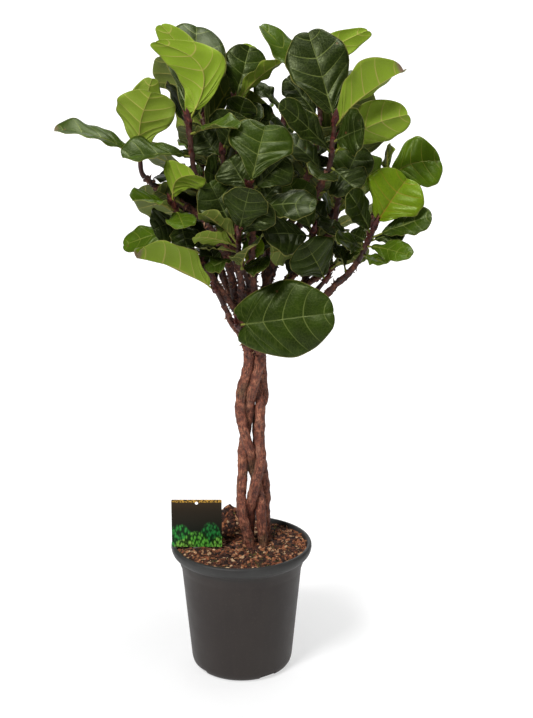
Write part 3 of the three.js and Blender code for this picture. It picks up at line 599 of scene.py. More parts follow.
flake = ("GeometryNodeMeshCone", {"Vertices": 6, "Radius Bottom": 0.5, "Depth": 1.0})
for name, places in strands.items():
    shape = Shape("crown")
    path = run([(x, y, z) for (x, y), z in zip(places, levels)], strand_step)
    radii = []
    for i, centre in enumerate(path):
        under = max(0, stem_top - centre.z)
        rounded = math.sqrt(1 - (1 - min(1, under / top_round)) ** 2) if i < 3 else 1
        uneven = uneven_share * noise.noise(Vector((i / 6, len(name), 0)))
        swollen = 1 + uneven + ring_swell * max(0, math.sin(i * 0.9)) ** 8
        radii.append((strand_radius + bark_over) * max(0.75, rounded) * swollen)
    tube(shape, path, radii, strand_sides, strand_rough, len(name), crown=crown_marks(path))
    for limb in limbs.values():
        if limb.stem != name:
            continue
        path = run(limb.path, limb_step)
        radii = []
        for i, centre in enumerate(path):
            knot = knot_swell * max(0, math.sin(i * 1.15 + centre.x)) ** 5
            fork = fork_swell * math.exp(-(i / 3) ** 2)
            even = limb.thick + (limb.thin - limb.thick) * i / (len(path) - 1)
            radii.append(even * (1 + knot + fork))
        tube(shape, path, radii, limb_sides, limb_rough, limb.thick + limb.thin, crown=crown_marks(path))
    stem = shape.made("bark_" + name, [bark])
    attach(stem, "root")
    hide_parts(name)
    for kind, copy_shape, density, seed, low, high, tilt, floor in (
            ("pores_", lump, 5200, 21, (0.8, 0.8, 0.4), (2.2, 1.5, 0.9), 12, 240),
            ("scales_", flake, 6500, 23, (2.4, 1.4, 3), (6.5, 3.2, 9), 52, 620)):
        strewn = scattered(kind + name, stem, copy_shape, scale_finish, density, seed, low, high, tilt, floor)

# Leafy shoots: at the end of every limb a green to brown shoot stem with a pointed bud in papery sheaths,
# and its fiddle-shaped leaves, each on a short stalk. Leaves are leathery, glossy and dark when old, thin
# and lime green when young, with a sunken midrib, side veins that run out to the margin and ribs beneath.

# What each leaf is unless it says otherwise. bend, fold and cup are angles: along the midrib, between the
# halves and across each half. sway, stalk and wave are in mm. wide puts the broadest place nearer the tip,
# waist, lobe, notch and wobble shape the outline in shares, and dry is how brown the tip is.
plain_leaf = dict(bend=20, fold=12, sway=0, wide=1.5, waist=0.14, lobe=0.05, notch=0.06, stalk=14, cup=25,
                  wave=4, wobble=0.03, dry=0)
waist_place, waist_reach = 0.3, 0.14
lobe_place, notch_place = 0.08, 0.93


class Leaf:
    """A bent, folded and waved blade on a short stalk.

    at is its share of the way up the shoot, age runs from 0 for a dark old leaf to 1 for a lime green young
    one, tip is where it ends and face the way its upper side looks."""

    def __init__(self, at, age, tip, face, width, **rest):
        self.__dict__.update(plain_leaf, at=at, age=age, width=width, **rest)
        self.tip, self.face = Vector(tip), Vector(face)

    def rooted(self, root):
        """Lets the leaf grow from a root, and finds its own three ways and how it bends."""
        self.root = root
        chord = self.tip - root
        self.along = chord.normalized()
        up = self.face.normalized()
        self.up = (up - self.along * up.dot(self.along)).normalized()
        self.side = self.up.cross(self.along)
        self.turn = math.radians(self.bend)
        self.arc = chord.length * self.turn / 2 / math.sin(self.turn / 2)
        self.share = self.stalk / self.arc
        return self

    def turned(self, root, heading, tilt):
        """A copy that grows from the root, turned about it in degrees."""
        other = copy(self).rooted(root)
        spin = (Matrix.Rotation(math.radians(tilt), 3, other.side)
                @ Matrix.Rotation(math.radians(heading), 3, other.up))
        other.tip = root + spin @ (other.tip - root)
        other.face = spin @ other.face
        return other.rooted(root)

    def half(self, t):
        """Half the blade's width at the share t of its length."""
        body = np.sin(np.pi * np.clip(t, 0, 1) ** self.wide) ** 0.62
        return 0.5 * self.width * body * (1 - self.waist * np.exp(-((t - waist_place) / waist_reach) ** 2))

    def spine(self, u, beside, above):
        """Points beside and above the midrib, at the share u of its arc from the root."""
        angle = self.turn / 2 - self.turn * u
        bow = self.arc / self.turn
        sway = self.sway * np.sin(np.pi * np.clip(u, 0, 1.2))
        on = bow * (math.sin(self.turn / 2) - np.sin(angle)) - above * np.sin(angle)
        over = bow * (np.cos(angle) - math.cos(self.turn / 2)) + above * np.cos(angle)
        return (np.array(self.root) + np.multiply.outer(on, self.along) + np.multiply.outer(over, self.up)
                + np.multiply.outer(sway + beside, self.side))

    def blade(self, t, s, above=0.0):
        """Points of the upper face: t from the blade's foot to its tip, s from margin to margin."""
        half = self.half(t)
        lobe = self.lobe * np.minimum(1, half / self.half(np.array(lobe_place)))
        notch = self.notch * np.minimum(1, half / self.half(np.array(notch_place)))
        placed = t - lobe * np.abs(s) ** 1.5 * (1 - t) ** 4 + notch * np.abs(s) ** 1.5 * t ** 5
        u = self.share + (1 - self.share) * placed
        fold = math.radians(self.fold)
        curl = math.radians(self.cup) / (0.5 * self.width)
        turn = fold - curl * np.abs(s) * half
        out = (math.sin(fold) - np.sin(turn)) / curl
        lift = (np.cos(turn) - math.cos(fold)) / curl
        phase = self.tip.x / 100 + 0.37 * (s > 0)
        wave = self.wave * s * s * np.sin(2 * np.pi * (1.6 * t + phase)) * np.sin(np.pi * t)
        return self.spine(u, np.sign(s) * out, lift + wave + above)


# Each shoot has its tip, and its leaves one by one or how many it grows by the rule further down.
Shoot = namedtuple("Shoot", "tip leaves grown", defaults=((), 0))
shoots = {
    "left_top": Shoot((-86, -70, 1048), leaves=[
        Leaf(0.98, 1, (-138, -75, 1180), (-0.2, 1, 0.2), 90, bend=30, sway=56, wide=0.9),
        Leaf(0.95, 1, (-132, -30, 1208), (0, 1, 0.3), 60, bend=30, sway=28),
        Leaf(0.9, 0.1, (-78, 85, 1207), (0.2, -1, 0.1), 116, bend=25),
        Leaf(0.55, 0, (-122, 15, 1108), (0.8, -0.2, 0.5), 66, bend=15),
        Leaf(0.75, 0.15, (0, -130, 1040), (0, -0.3, 1), 62, bend=30, fold=30),
        Leaf(0.3, 0.15, (-195, -110, 990), (0, -0.45, 1), 85, fold=30),
    ]),
    "middle_top": Shoot((-10, 40, 1075), leaves=[
        Leaf(0.95, 0.05, (18, 62, 1172), (0.1, -1, 0.3), 84),
        Leaf(0.9, 0.8, (73, -10, 1146), (0, 0.3, 1), 50, bend=35, fold=25),
        Leaf(0.8, 0.9, (22, 112, 1174), (0, 1, 0.5), 66),
        Leaf(0.2, 0, (10, -10, 1085), (0, -1, 0.3), 60),
    ]),
    "left_upper": Shoot((-172, -50, 988), leaves=[
        Leaf(0.98, 0.7, (-130, -68, 1090), (0.2, 1, 0.2), 112, bend=15, fold=28, sway=-10, lobe=0.14),
        Leaf(0.9, 0.7, (-130, 10, 1110), (0, 1, 0.5), 60, sway=-6),
        Leaf(0.8, 0.2, (-317, -60, 1032), (0, -0.3, 1), 76, fold=25, bend=42, dry=0.6),
    ]),
    "left_middle": Shoot((-113, -90, 908), leaves=[
        Leaf(0.98, 1, (-72, -135, 964), (0.3, 1, 0.3), 76, bend=30, fold=25, sway=-20),
        Leaf(0.8, 0.3, (-177, -140, 922), (0, -0.3, 1), 70, bend=35, fold=25),
        Leaf(0.5, 0, (-150, -70, 862), (0, -1, 0.1), 68, stalk=8),
        Leaf(0.6, 0, (-88, -115, 835), (0.3, -1, 0.1), 52, stalk=8),
        Leaf(0.75, 0.35, (-90, -160, 878), (0, -0.6, 0.9), 52, stalk=8),
        Leaf(0.1, 0.3, (-206, -40, 830), (0, -0.9, 0.9), 56),
    ]),
    "left_lower": Shoot((-42, -76, 757), leaves=[
        Leaf(0.98, 0.9, (-173, -140, 825), (0.1, 0.35, 1), 112, bend=25, fold=48, dry=0.9),
    ]),
    "front_top": Shoot((20, -148, 944), leaves=[
        Leaf(0.98, 0.1, (27, -122, 1052), (0, -1, 0.2), 114, bend=30, notch=0.13, wide=1.9),
        Leaf(0.7, 0, (80, -115, 992), (0.2, -1, 0.3), 75),
        Leaf(0.6, 0, (-15, -105, 988), (-0.2, -1, 0.3), 75),
    ]),
    "front_middle": Shoot((0, -138, 865), leaves=[
        Leaf(0.98, 0, (20, -170, 945), (0, -1, 0.2), 78, bend=10),
        Leaf(0.85, 0, (48, -150, 922), (0, -1, 0.3), 70, bend=10),
        Leaf(0.7, 0, (-45, -120, 952), (0.2, -1, 0.3), 80, bend=15),
        Leaf(0.6, 0.3, (-48, -165, 905), (0.3, 0.6, 0.8), 60, bend=30, fold=20),
        Leaf(0.5, 0.6, (-72, -150, 862), (0, 0.6, 0.8), 60, bend=30),
        Leaf(0.3, 0, (-65, -95, 833), (0, 0.2, 1), 50),
        Leaf(0.05, 0.1, (-57, -105, 798), (0, -0.4, 1), 45),
    ]),
    "right_top": Shoot((166, -60, 1048), leaves=[
        Leaf(0.98, 0.05, (120, -10, 1196), (0.1, -1, 0.1), 112, notch=0.09, wide=1.35),
        Leaf(0.9, 0.9, (276, -108, 1133), (-0.5, 0.7, 0.5), 108, bend=25, fold=42, sway=-5, lobe=0.12,
             dry=1),
        Leaf(0.25, 1, (278, -50, 1080), (0.1, 1, 0.3), 82, bend=25, fold=25, sway=-12),
        Leaf(0.3, 0.05, (70, -110, 1080), (0, -0.8, 0.6), 58, fold=18),
        Leaf(0.55, 0, (213, -110, 1040), (-0.2, -1, 0.4), 84),
        Leaf(0.02, 0, (202, -88, 932), (0.1, -1, 0.5), 80),
    ]),
    "right_back_top": Shoot((146, 50, 1070), leaves=[
        Leaf(0.98, 1, (230, 80, 1200), (0.2, 1, 0.3), 56, sway=-38),
        Leaf(0.9, 0.25, (38, 62, 1208), (0.55, -0.6, 0.6), 68, bend=30, fold=20),
        Leaf(0.5, 0, (85, 80, 1118), (0, -1, 0.4), 55),
    ]),
    "back_top": Shoot((80, 120, 1055), leaves=[
        Leaf(0.98, 0, (25, 130, 1108), (0.5, -0.6, 0.6), 40, stalk=8),
        Leaf(0.6, 0, (28, 110, 1058), (0, -1, 0.3), 56, stalk=8),
    ]),
    "right_middle": Shoot((237, -60, 867), leaves=[
        Leaf(0.98, 0.85, (292, -60, 950), (-0.3, -1, 0.1), 114, bend=25, fold=26, notch=0.12),
        Leaf(0.75, 0.05, (188, -110, 932), (0.4, -0.9, 0.3), 56, bend=15),
        Leaf(0.6, 0.15, (333, -90, 888), (0, -0.7, 0.8), 62, bend=15, stalk=26),
        Leaf(0.5, 0.1, (290, -66, 858), (0, -0.8, 0.6), 44, bend=15),
        Leaf(0.36, 0.3, (305, -118, 838), (0, -0.8, 0.7), 46, bend=20),
        Leaf(0.25, 0.1, (167, -120, 855), (0, -0.9, 0.6), 42, bend=10),
        Leaf(0.1, 0.3, (252, -110, 822), (0, -0.4, 1), 42, bend=10),
        Leaf(0.5, 0, (200, 10, 845), (0, -1, 0.4), 52, bend=10, stalk=8),
        Leaf(0.15, 0.1, (185, 20, 812), (0, -1, 0.4), 52, bend=10, stalk=8),
    ]),
    "right_upper": Shoot((268, 80, 932), leaves=[
        Leaf(0.98, 0.42, (366, 60, 970), (0, -1, 0.4), 100, sway=12),
        Leaf(0.8, 0.5, (275, 130, 992), (0.6, 0.6, 0.6), 56),
        Leaf(0.4, 0.4, (215, 60, 975), (0, -0.8, 0.8), 76),
    ]),
    "front_lower": Shoot((154, -36, 766), leaves=[
        Leaf(0.98, 0.1, (115, -80, 842), (0, -1, 0.4), 92, bend=25),
    ]),
    "bottom_front": Shoot((-4, -64, 690), leaves=[
        Leaf(0.98, 0.05, (165, -108, 722), (0, -1, 0.2), 140, bend=15, fold=5, wide=1, waist=0, lobe=0.25,
             wobble=0.01),
    ]),
    "front_right": Shoot((130, -60, 855), leaves=[
        Leaf(0.9, 0, (42, -118, 862), (0, -0.8, 0.7), 92, bend=15),
        Leaf(0.6, 0.15, (55, -75, 822), (0, 0.9, 0.4), 66),
        Leaf(0.98, 0.1, (72, -55, 935), (0, -0.8, 0.3), 75, bend=25),
    ]),
    "right_inner": Shoot((176, 0, 912), leaves=[
        Leaf(0.98, 0, (215, 20, 1000), (0, -1, 0.4), 78, bend=25),
        Leaf(0.6, 0.2, (222, 20, 937), (0, 0.8, 0.8), 66),
        Leaf(0.3, 0, (148, -70, 845), (0, -0.9, 0.3), 60, bend=25),
    ]),
    "inner_low": Shoot((5, -36, 792), leaves=[
        Leaf(0.98, 0.6, (30, -62, 845), (-0.5, -0.8, 0.2), 48, fold=20),
    ]),
    "inner_left": Shoot((-30, -10, 995), leaves=[
        Leaf(0.98, 0, (-5, -40, 1062), (0, -1, 0.3), 82),
        Leaf(0.7, 0, (-68, 20, 1025), (0, -1, 0.3), 74),
        Leaf(0.4, 0, (-60, -50, 962), (0, -1, 0.4), 72),
    ]),
    "back_left_low": Shoot((-78, 160, 840), grown=4),
    "back_left_middle": Shoot((-74, 150, 955), grown=4),
    "back_left_top": Shoot((-74, 134, 1055), grown=4),
    "back_middle_low": Shoot((45, 190, 850), grown=4),
    "back_middle": Shoot((25, 190, 965), grown=4),
    "back_middle_top": Shoot((45, 156, 980), grown=4),
    "back_right_low": Shoot((175, 160, 850), grown=4),
    "back_right_middle": Shoot((204, 165, 945), grown=4),
    "back_right_top": Shoot((150, 138, 1025), grown=4),
}
young_shoots = ["left_upper", "left_lower"]
shoot_gap, knee_run, knee_soft, knee_steps, shoot_steps = 0.3, 9, 14, 6, 24
shoot_foot, shoot_tip, shoot_sides, shoot_rough = 4.7, 3.6, 14, 0.5
collar_out, collar_reach = 0.9, 2.2
stalk_radii = [2.9, 2.6, 2.3, 2.1, 2.0, 1.9, 1.85, 1.7, 1.3]
stalk_under, stalk_sides = 1.3, 10
bud_length, bud_sides, bud_rough = 22, 12, 0.3
bud_radii = [3.8, 4.3, 4.2, 3.8, 3.2, 2.5, 1.8, 1.2, 0.7]
bud_sheaths = [(1.25, 0.06), (1.1, 0.2), (0.9, 0.38)]
bud_sheath_width, leaf_sheath_width = 9, 7.5
leaf_sheath_length, leaf_sheath_more, leaf_sheath_open, leaf_sheath_turn = 16, 10, 0.36, 70
golden_turn = 137.5
leaf_marks = ("age", "vein", "under", "shade", "margin", "dry")
sheath_kind, stem_kind = 1, 2

# The rule of the nine shoots at the back: a spiral of leaves, with small draws for length, bend and fold.
spiral_first, spiral_span = 0.2, 0.78
spiral_lift, spiral_rise = 30, 35
back_length, back_shorter, back_vary, back_wide = 158, 34, 18, 0.68


def draws(seed):
    """Small random draws from 0 to 1, the same ones on each run."""
    while True:
        seed = seed * 16807 % 2147483647
        yield seed / 2147483647


back_draws = draws(7)


def spiral_leaves(knee, tip, count):
    """Leaves in a spiral up a shoot, longer low down and shorter at the tip."""
    axis = (tip - knee).normalized()
    first = (Vector((0, 1, 0)) - axis * axis.y).normalized()
    second = axis.cross(first)
    angle = math.radians(360 * next(back_draws))
    leaves = []
    for i in range(count):
        share = i / (count - 1)
        lift = math.radians(spiral_lift + spiral_rise * share)
        out = first * math.cos(angle) + second * math.sin(angle)
        length = back_length - back_shorter * share + back_vary * next(back_draws)
        at = spiral_first + spiral_span * share
        leaves.append(Leaf(
            at, 0.05 + 0.4 * share ** 2,
            knee.lerp(tip, at) + (out * math.cos(lift) + axis * math.sin(lift)) * length,
            axis * math.cos(lift) - out * math.sin(lift), back_wide * length,
            bend=20 + 20 * next(back_draws), fold=10 + 12 * next(back_draws)))
        angle += math.radians(golden_turn)
    return leaves


def grid(rows, columns):
    """The numbers of a grid's points, and its faces."""
    order = np.arange(rows * columns).reshape(rows, columns)
    corners = order[:-1, :-1], order[1:, :-1], order[1:, 1:], order[:-1, 1:]
    return order, np.stack(corners, -1).reshape(-1, 4)


def sheet_faces(rows, columns):
    """Faces of a thin sheet between two grids, the upper one first, closed around its rim."""
    order, upper = grid(rows, columns)
    under = upper[:, [0, 3, 2, 1]] + order.size
    rim = np.concatenate([order[0, :], order[1:, -1], order[-1, -2::-1], order[-2:0:-1, 0]])
    after = np.roll(rim, -1)
    sides = np.stack([rim, after, after + order.size, rim + order.size], -1)
    return np.concatenate([upper, under, sides])


main_veins, vein_foot, vein_rise = 4, 0.012, 0.42
low_veins = (0, 0.3, 0.68)
last_vein, blade_end = 0.9, 0.9985
vein_parts = (0, 0.04, 0.1, 0.3, 0.5, 0.7, 0.9, 0.96)
across_steps = 7
rib_half, rib_most, flank_ribs, flank_most = 1.1, 0.25, 2.2, 0.45
blade_thin, blade_body = 0.55, 0.35
groove_deep, vein_deep = 0.7, 0.25
keel_deep, keel_side, vein_keel = 1.9, 0.7, 0.45
ruffle_margin, ruffle_field = 1.9, 1.5
puff_old, puff_young = 0.016, 0.002


def blade_rows(parts):
    """Rows across a blade that follow its side veins, from the midrib out to the margin.

    Each has its place on the midrib and on the margin, how strongly a vein shows, and its share of the way
    from one vein to the next."""
    lines = [(vein_foot, vein_foot + share * vein_rise) for share in low_veins]
    for k in range(main_veins + 1):
        t = vein_foot + (last_vein - vein_foot) * (k / main_veins) ** 1.05
        lines.append((t, t + vein_rise * (1 - t)))
    lines.append((blade_end, blade_end))
    rows = []
    for n, (near, far) in enumerate(zip(lines, lines[1:])):
        for part in parts:
            beside = min(part, 1 - part) < 0.05 and n + round(part) > 0
            strength = 1.0 if beside and part == 0 else 0.3 if beside else 0.0
            rows.append((near[0] + (far[0] - near[0]) * part, near[1] + (far[1] - near[1]) * part,
                         strength, part))
    rows.append((blade_end, blade_end, 0.0, 0.0))
    return np.array(rows).T[:, :, None]


def add_blade(shape, leaf, shade, parts=vein_parts, steps=across_steps):
    """The blade as one closed skin: puffed between its veins, ruffled along its margins, ribbed beneath."""
    foot, edge, strength, between = blade_rows(parts)
    half = np.maximum(leaf.half(foot), 0.5)
    rib = np.minimum(rib_most, rib_half * (1 - 0.7 * foot) / half)
    flank = np.minimum(flank_most, flank_ribs * rib)
    even = np.arange(1, steps + 1)[None, :] / steps
    right = np.hstack([rib, flank, flank + (1 - flank) * even])
    s = np.hstack([-right[:, ::-1], np.zeros_like(foot), right])
    margin = np.abs(s)
    t = foot + (edge - foot) * margin ** 1.4
    t += 0.035 * np.sin(np.pi * foot) * np.where(s < 0, 1, -0.4) * margin * (1 - s ** 2)
    rows, columns = s.shape
    from_middle = np.abs(np.arange(columns) - columns // 2)
    on_rib, by_rib = (from_middle == 0) * 1.0, (from_middle == 1) * 1.0
    ribbed = on_rib + 0.5 * by_rib
    strong = strength * (1 - 0.5 * margin ** 1.5)
    vein = np.maximum(strong, ribbed)
    fade = np.sin(np.pi * np.clip(t, 0.02, 0.98)) ** 0.5
    puffed = leaf.puff * leaf.width * np.sin(np.pi * between) ** 2 * fade
    puffed = puffed * (1 - margin ** 3) * np.minimum(1, margin / 0.2)
    phase = leaf.tip.z / 37 + 0.4 * (s > 0)
    slow = np.sin(2 * np.pi * (2.6 * t + 2.3 * phase))
    quick = np.sin(2 * np.pi * (4.3 * t + phase))
    ruffled = s ** 4 * (ruffle_margin * slow + ruffle_margin * quick)
    uneven = ruffle_field * np.sin(9 * t + 5 * phase) * np.sin(4 * s + leaf.tip.x / 23)
    raised = puffed + fade * (ruffled + uneven)
    s = s * (1 + leaf.wobble * s ** 2 * (slow - 0.6 * quick))
    groove = groove_deep * (1 - 0.7 * foot) * on_rib + vein_deep * strong * (1 - ribbed)
    keel = (1 - 0.85 * foot) * (keel_deep * on_rib + keel_side * by_rib) + vein_keel * strong * (1 - ribbed)
    thick = blade_thin + blade_body * (1 - np.abs(s))
    top = leaf.blade(t, s, raised - groove)
    bottom = leaf.blade(t, s, raised - thick - keel)
    flat = np.stack([s * half * MM, t * leaf.arc * MM], -1).reshape(-1, 2)
    faces = sheet_faces(rows, columns)
    dry = leaf.dry * np.clip((t - 0.93) / 0.04, 0, 1)
    shape.add(np.concatenate([top.reshape(-1, 3), bottom.reshape(-1, 3)]).tolist(), faces.tolist(),
              np.tile(flat, (2, 1))[faces.ravel()].tolist(), age=leaf.age, shade=shade,
              vein=np.tile(vein.ravel(), 2).tolist(), under=np.repeat([0.0, 1.0], s.size).tolist(),
              margin=np.tile(margin.ravel(), 2).tolist(), dry=np.tile(dry.ravel(), 2).tolist())


def add_stalk(shape, leaf, shade):
    """The stalk from the shoot to just past the blade's foot, under its midrib."""
    shares = np.linspace(0, leaf.share * 1.12, len(stalk_radii))
    centres = leaf.spine(shares, np.zeros(len(shares)), np.full(len(shares), -stalk_under))
    tube(shape, [Vector(c) for c in centres], stalk_radii, stalk_sides, age=max(0.3, leaf.age), vein=0.5,
         under=0.6, shade=shade)


sheath_rows, sheath_columns = 7, 7
sheath_round, sheath_thick = 150, 0.5


def add_sheath(shape, root, way, out, length, width, open_by):
    """A papery pointed sheath that stands on the stem, hollow towards it."""
    side = way.cross(out).normalized()
    points = []
    for thick in (0.0, sheath_thick):
        for i in range(sheath_rows):
            t = i / (sheath_rows - 1)
            half = 0.5 * width * (math.cos(0.5 * math.pi * t ** 1.5) ** 0.8 if t < 1 else 0.03)
            stand = open_by * length * t ** 2
            reach = 0.55 * width * (1 - 0.45 * t)
            for k in range(sheath_columns):
                a = (k / (sheath_columns - 1) - 0.5) * math.radians(sheath_round) * (1 - 0.5 * t)
                away = stand + (reach - thick) * math.cos(a) - 0.1 * width
                points.append(root + way * (length * t) + out * away + side * half * 1.6 * math.sin(a))
    faces = sheet_faces(sheath_rows, sheath_columns)[:, [0, 3, 2, 1]]
    flat = np.array([(k * width * MM, i * length * MM / sheath_rows)
                     for i in range(sheath_rows) for k in range(sheath_columns)] * 2)
    shape.add([tuple(p) for p in points], faces.tolist(), flat[faces.ravel()].tolist(), sheath_kind)


leaf_finishes = []
for finish_name in ("leaf", "young_leaf"):
    made, where = finish(finish_name)
    flat_place = node(where, "ShaderNodeUVMap", uv_map="flat").outputs[0]
    age, vein, under, shade, margin, dry = [mark(where, name) for name in leaf_marks]
    fine = cloud(where, 300, 4)
    shift = node(where, "ShaderNodeTexNoise", {"Vector": flat_place, "Scale": 150}).outputs["Color"]
    shift = vector("MULTIPLY", shift, (0.004, 0.004, 0))
    net = cells(vector("ADD", flat_place, shift), 190, "DISTANCE_TO_EDGE")
    net = spread(net, 0.0, 0.09, 1, 0)
    old = spread(age, 0.15, 0.6, 1, 0)
    aged = number("ADD", age, spread(cloud(where, 26, 3), 0.3, 0.7, -0.07, 0.07))
    aged = number("ADD", aged, spread(shade, 0, 1, -0.05, 0.05))
    upper = ramp(aged, (0.0, 22, 31, 5), (0.15, 42, 58, 9), (0.4, 70, 94, 11), (0.7, 88, 113, 12),
                 (1.0, 106, 128, 18))
    upper = stained(upper, fine, (0.35, 0.7, 0, 0.22), (20, 32, 12))
    upper = mixed(times(times(net, old), 0.16), upper, srgb(92, 104, 46))
    vein_tone = ramp(age, (0, 108, 120, 64), (0.35, 128, 134, 54), (0.6, 136, 106, 38))
    strong = times(spread(vein, 0.25, 0.9, 0, 0.6), spread(age, 0.3, 0.7, 1, 1.5))
    # Fainter veins on the darkest leaves, down to 0.45 at the inner leaves' ages: partly the dull veins of
    # old leaves, partly painted shade inside the crown.
    strong = times(strong, spread(age, -0.1, 0.05, 0.45, 1))
    upper = mixed(strong, upper, vein_tone)
    lower = ramp(aged, (0.0, 84, 94, 48), (0.4, 104, 118, 44), (1.0, 116, 140, 34))
    lower = stained(lower, vein, (0.15, 0.7, 0, 0.85), (156, 148, 76))
    lower = mixed(times(net, 0.2), lower, srgb(128, 130, 66))
    colour = mixed(under, upper, lower)
    colour = stained(colour, margin, (0.965, 1, 0, 0.7), (136, 132, 68))
    spots = times(spread(cells(where, 26), 0.05, 0.075, 0.8, 0), old)
    colour = mixed(spots, colour, srgb(84, 58, 34))
    rough = number("ADD", spread(fine, 0.3, 0.7, 0.29, 0.37), times(under, 0.22))
    coat(made, mixed(dry, colour, srgb(116, 96, 78)), rough, (fine, 0.0001), (net, -0.0001),
         shine=0.19, tint=srgb(240, 255, 190))
    leaf_finishes.append(made)

sheath_finish, where = finish("bud_sheath")
colour = ramp(cloud(where, 160, 4), (0.3, 46, 16, 15), (0.55, 82, 30, 25), (0.78, 132, 70, 48))
coat(sheath_finish, colour, 0.55, (cloud(where, 800, 3, (1, 1, 0.12)), 0.0006))

shoot_finish, where = finish("shoot_stem")
colour = ramp(mark(where, "age"), (0, 46, 20, 15), (0.6, 58, 26, 20), (1, 76, 46, 27))
flecked = stained(colour, cloud(where, 220, 4), (0.45, 0.7, 0, 0.6), (84, 50, 36))
coat(shoot_finish, flecked, 0.6, (cloud(where, 500, 3), 0.0006))

# The solid of a shoot holds each leaf turned a little clear of the others. The turn is found again by
# trying the same ones: at the right one, most of these places on the blade are corners of the solid.
turns = [
    (0, 0), (10, 0), (-10, 0), (0, 10), (0, -10), (10, 10), (-10, 10), (10, -10), (-10, -10),
    (20, 0), (-20, 0), (0, 20), (0, -20), (20, 20), (-20, 20), (20, -20), (-20, -20),
    (32, 0), (-32, 0), (0, 32), (0, -32), (45, 0), (-45, 0), (45, 20), (-45, 20), (60, 0), (-60, 0),
]
tried_t, tried_s = np.meshgrid([0.08, 0.3, 0.55, 0.78, 0.93, 1.0], [-1, 0, 1])
close_by, found_least = 0.06, 5

for name, shoot in shoots.items():
    limb = limbs[name].path
    foot, tip = Vector(limb[-1]), Vector(shoot.tip)
    way = (foot - run(limb, 60)[-2]).normalized()
    start, knee = foot + way * shoot_gap, foot + way * knee_run
    on = (tip - foot).normalized()
    reach = (tip - knee).length
    soft = min(knee_soft, 0.5 * reach)
    path = []
    for i in range(knee_steps):
        t = i / knee_steps
        path.append(start.lerp(knee, t).lerp(knee + (tip - knee) * (soft / reach) * t, t))
    for i in range(shoot_steps + 1):
        path.append(knee + (tip - knee) * (soft + (reach - soft) * i / shoot_steps) / reach)
    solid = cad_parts["shoot_" + name].data.vertices
    corners = kdtree.KDTree(len(solid))
    for i, corner in enumerate(solid):
        corners.insert(corner.co / MM, i)
    corners.balance()
    grown = []
    for leaf in shoot.leaves or spiral_leaves(knee, tip, shoot.grown):
        root = knee.lerp(tip, leaf.at)
        best, best_count = None, found_least
        for heading, tilt in turns:
            tried = leaf.turned(root, heading, tilt)
            places = tried.blade(tried_t.ravel(), tried_s.ravel())
            found = sum(corners.find(place)[2] < close_by for place in places)
            if found > best_count:
                best, best_count = tried, found
        if best:
            best.puff = puff_old + puff_young * best.age
            grown.append(best)
    shape = Shape(*leaf_marks)
    lengths = [0.0]
    for near, far in zip(path, path[1:]):
        lengths.append(lengths[-1] + (far - near).length)
    radii, ages = [], []
    for gone in lengths:
        share = gone / lengths[-1]
        collar = sum(collar_out * math.exp(-((gone - knee_run - leaf.at * reach) / collar_reach) ** 2)
                     for leaf in grown)
        radii.append(shoot_foot + (shoot_tip - shoot_foot) * share + collar)
        ages.append(share ** 0.7)
    tube(shape, path, radii, shoot_sides, shoot_rough, reach, stem_kind, age=ages)
    bud_last = len(bud_radii) - 1
    bud_path = [tip + on * (bud_length * i / bud_last) for i in range(bud_last + 1)]
    tube(shape, bud_path, bud_radii, bud_sides, bud_rough, reach, sheath_kind, age=0.5)
    across = on.orthogonal().normalized()
    for i, (length_share, stand) in enumerate(bud_sheaths):
        out = Matrix.Rotation(math.radians(golden_turn * i + reach * 7), 3, on) @ across
        add_sheath(shape, tip - on * (3 + 2 * i), on, out, bud_length * length_share, bud_sheath_width, stand)
    for i, leaf in enumerate(grown):
        shade = (math.sin(i * 12.9898 + reach * 78.233) * 43758.5453) % 1
        add_blade(shape, leaf, shade)
        add_stalk(shape, leaf, shade)
        facing = leaf.along - on * leaf.along.dot(on)
        if facing.length > 0.1 and leaf.at > 0.15:
            for turn in (leaf_sheath_turn, -leaf_sheath_turn):
                aside = Matrix.Rotation(math.radians(turn), 3, on) @ facing.normalized()
                add_sheath(shape, leaf.root - on * 2, on, aside,
                           leaf_sheath_length + leaf_sheath_more * shade, leaf_sheath_width, leaf_sheath_open)
    young = name in young_shoots
    made = shape.made("leafy_shoot_" + name, [leaf_finishes[young], sheath_finish, shoot_finish])
    whole = bmesh.new()
    whole.from_mesh(made.data)
    bmesh.ops.remove_doubles(whole, verts=whole.verts, dist=1e-6)
    whole.to_mesh(made.data)
    whole.free()
    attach(made, "root")
    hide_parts("shoot_" + name)

# Inner leaves: the small dark leaves on short stalks along the limbs that make the crown dense. Each one
# grows out of a limb at random and is kept only where it crosses nothing that already stands there.
inner_tries, inner_count = 1800, 84
inner_low, inner_high, inner_reach = 800, 1075, 175
crown_middle = Vector((32, 10, 0))
root_below, root_sunk = 40, 0.5
coarse_rows, coarse_columns = 7, 5
room_above, room_below = 2.5, 4
inner_puff = 0.014
inner_parts, inner_steps = (0, 0.12, 0.4, 0.7, 0.95), 4
spare = random.Random(12)


def skin_tree(points, faces):
    return bvhtree.BVHTree.FromPolygons([tuple(p) for p in points], faces)


def coarse_blade(leaf, above):
    """A few faces of the blade, laid above its face by mm."""
    t, s = np.meshgrid(np.linspace(0.05, 1, coarse_rows), np.linspace(-1, 1, coarse_columns), indexing="ij")
    points = leaf.blade(t, s, above).reshape(-1, 3)
    return skin_tree(points.tolist(), grid(coarse_rows, coarse_columns)[1].tolist())


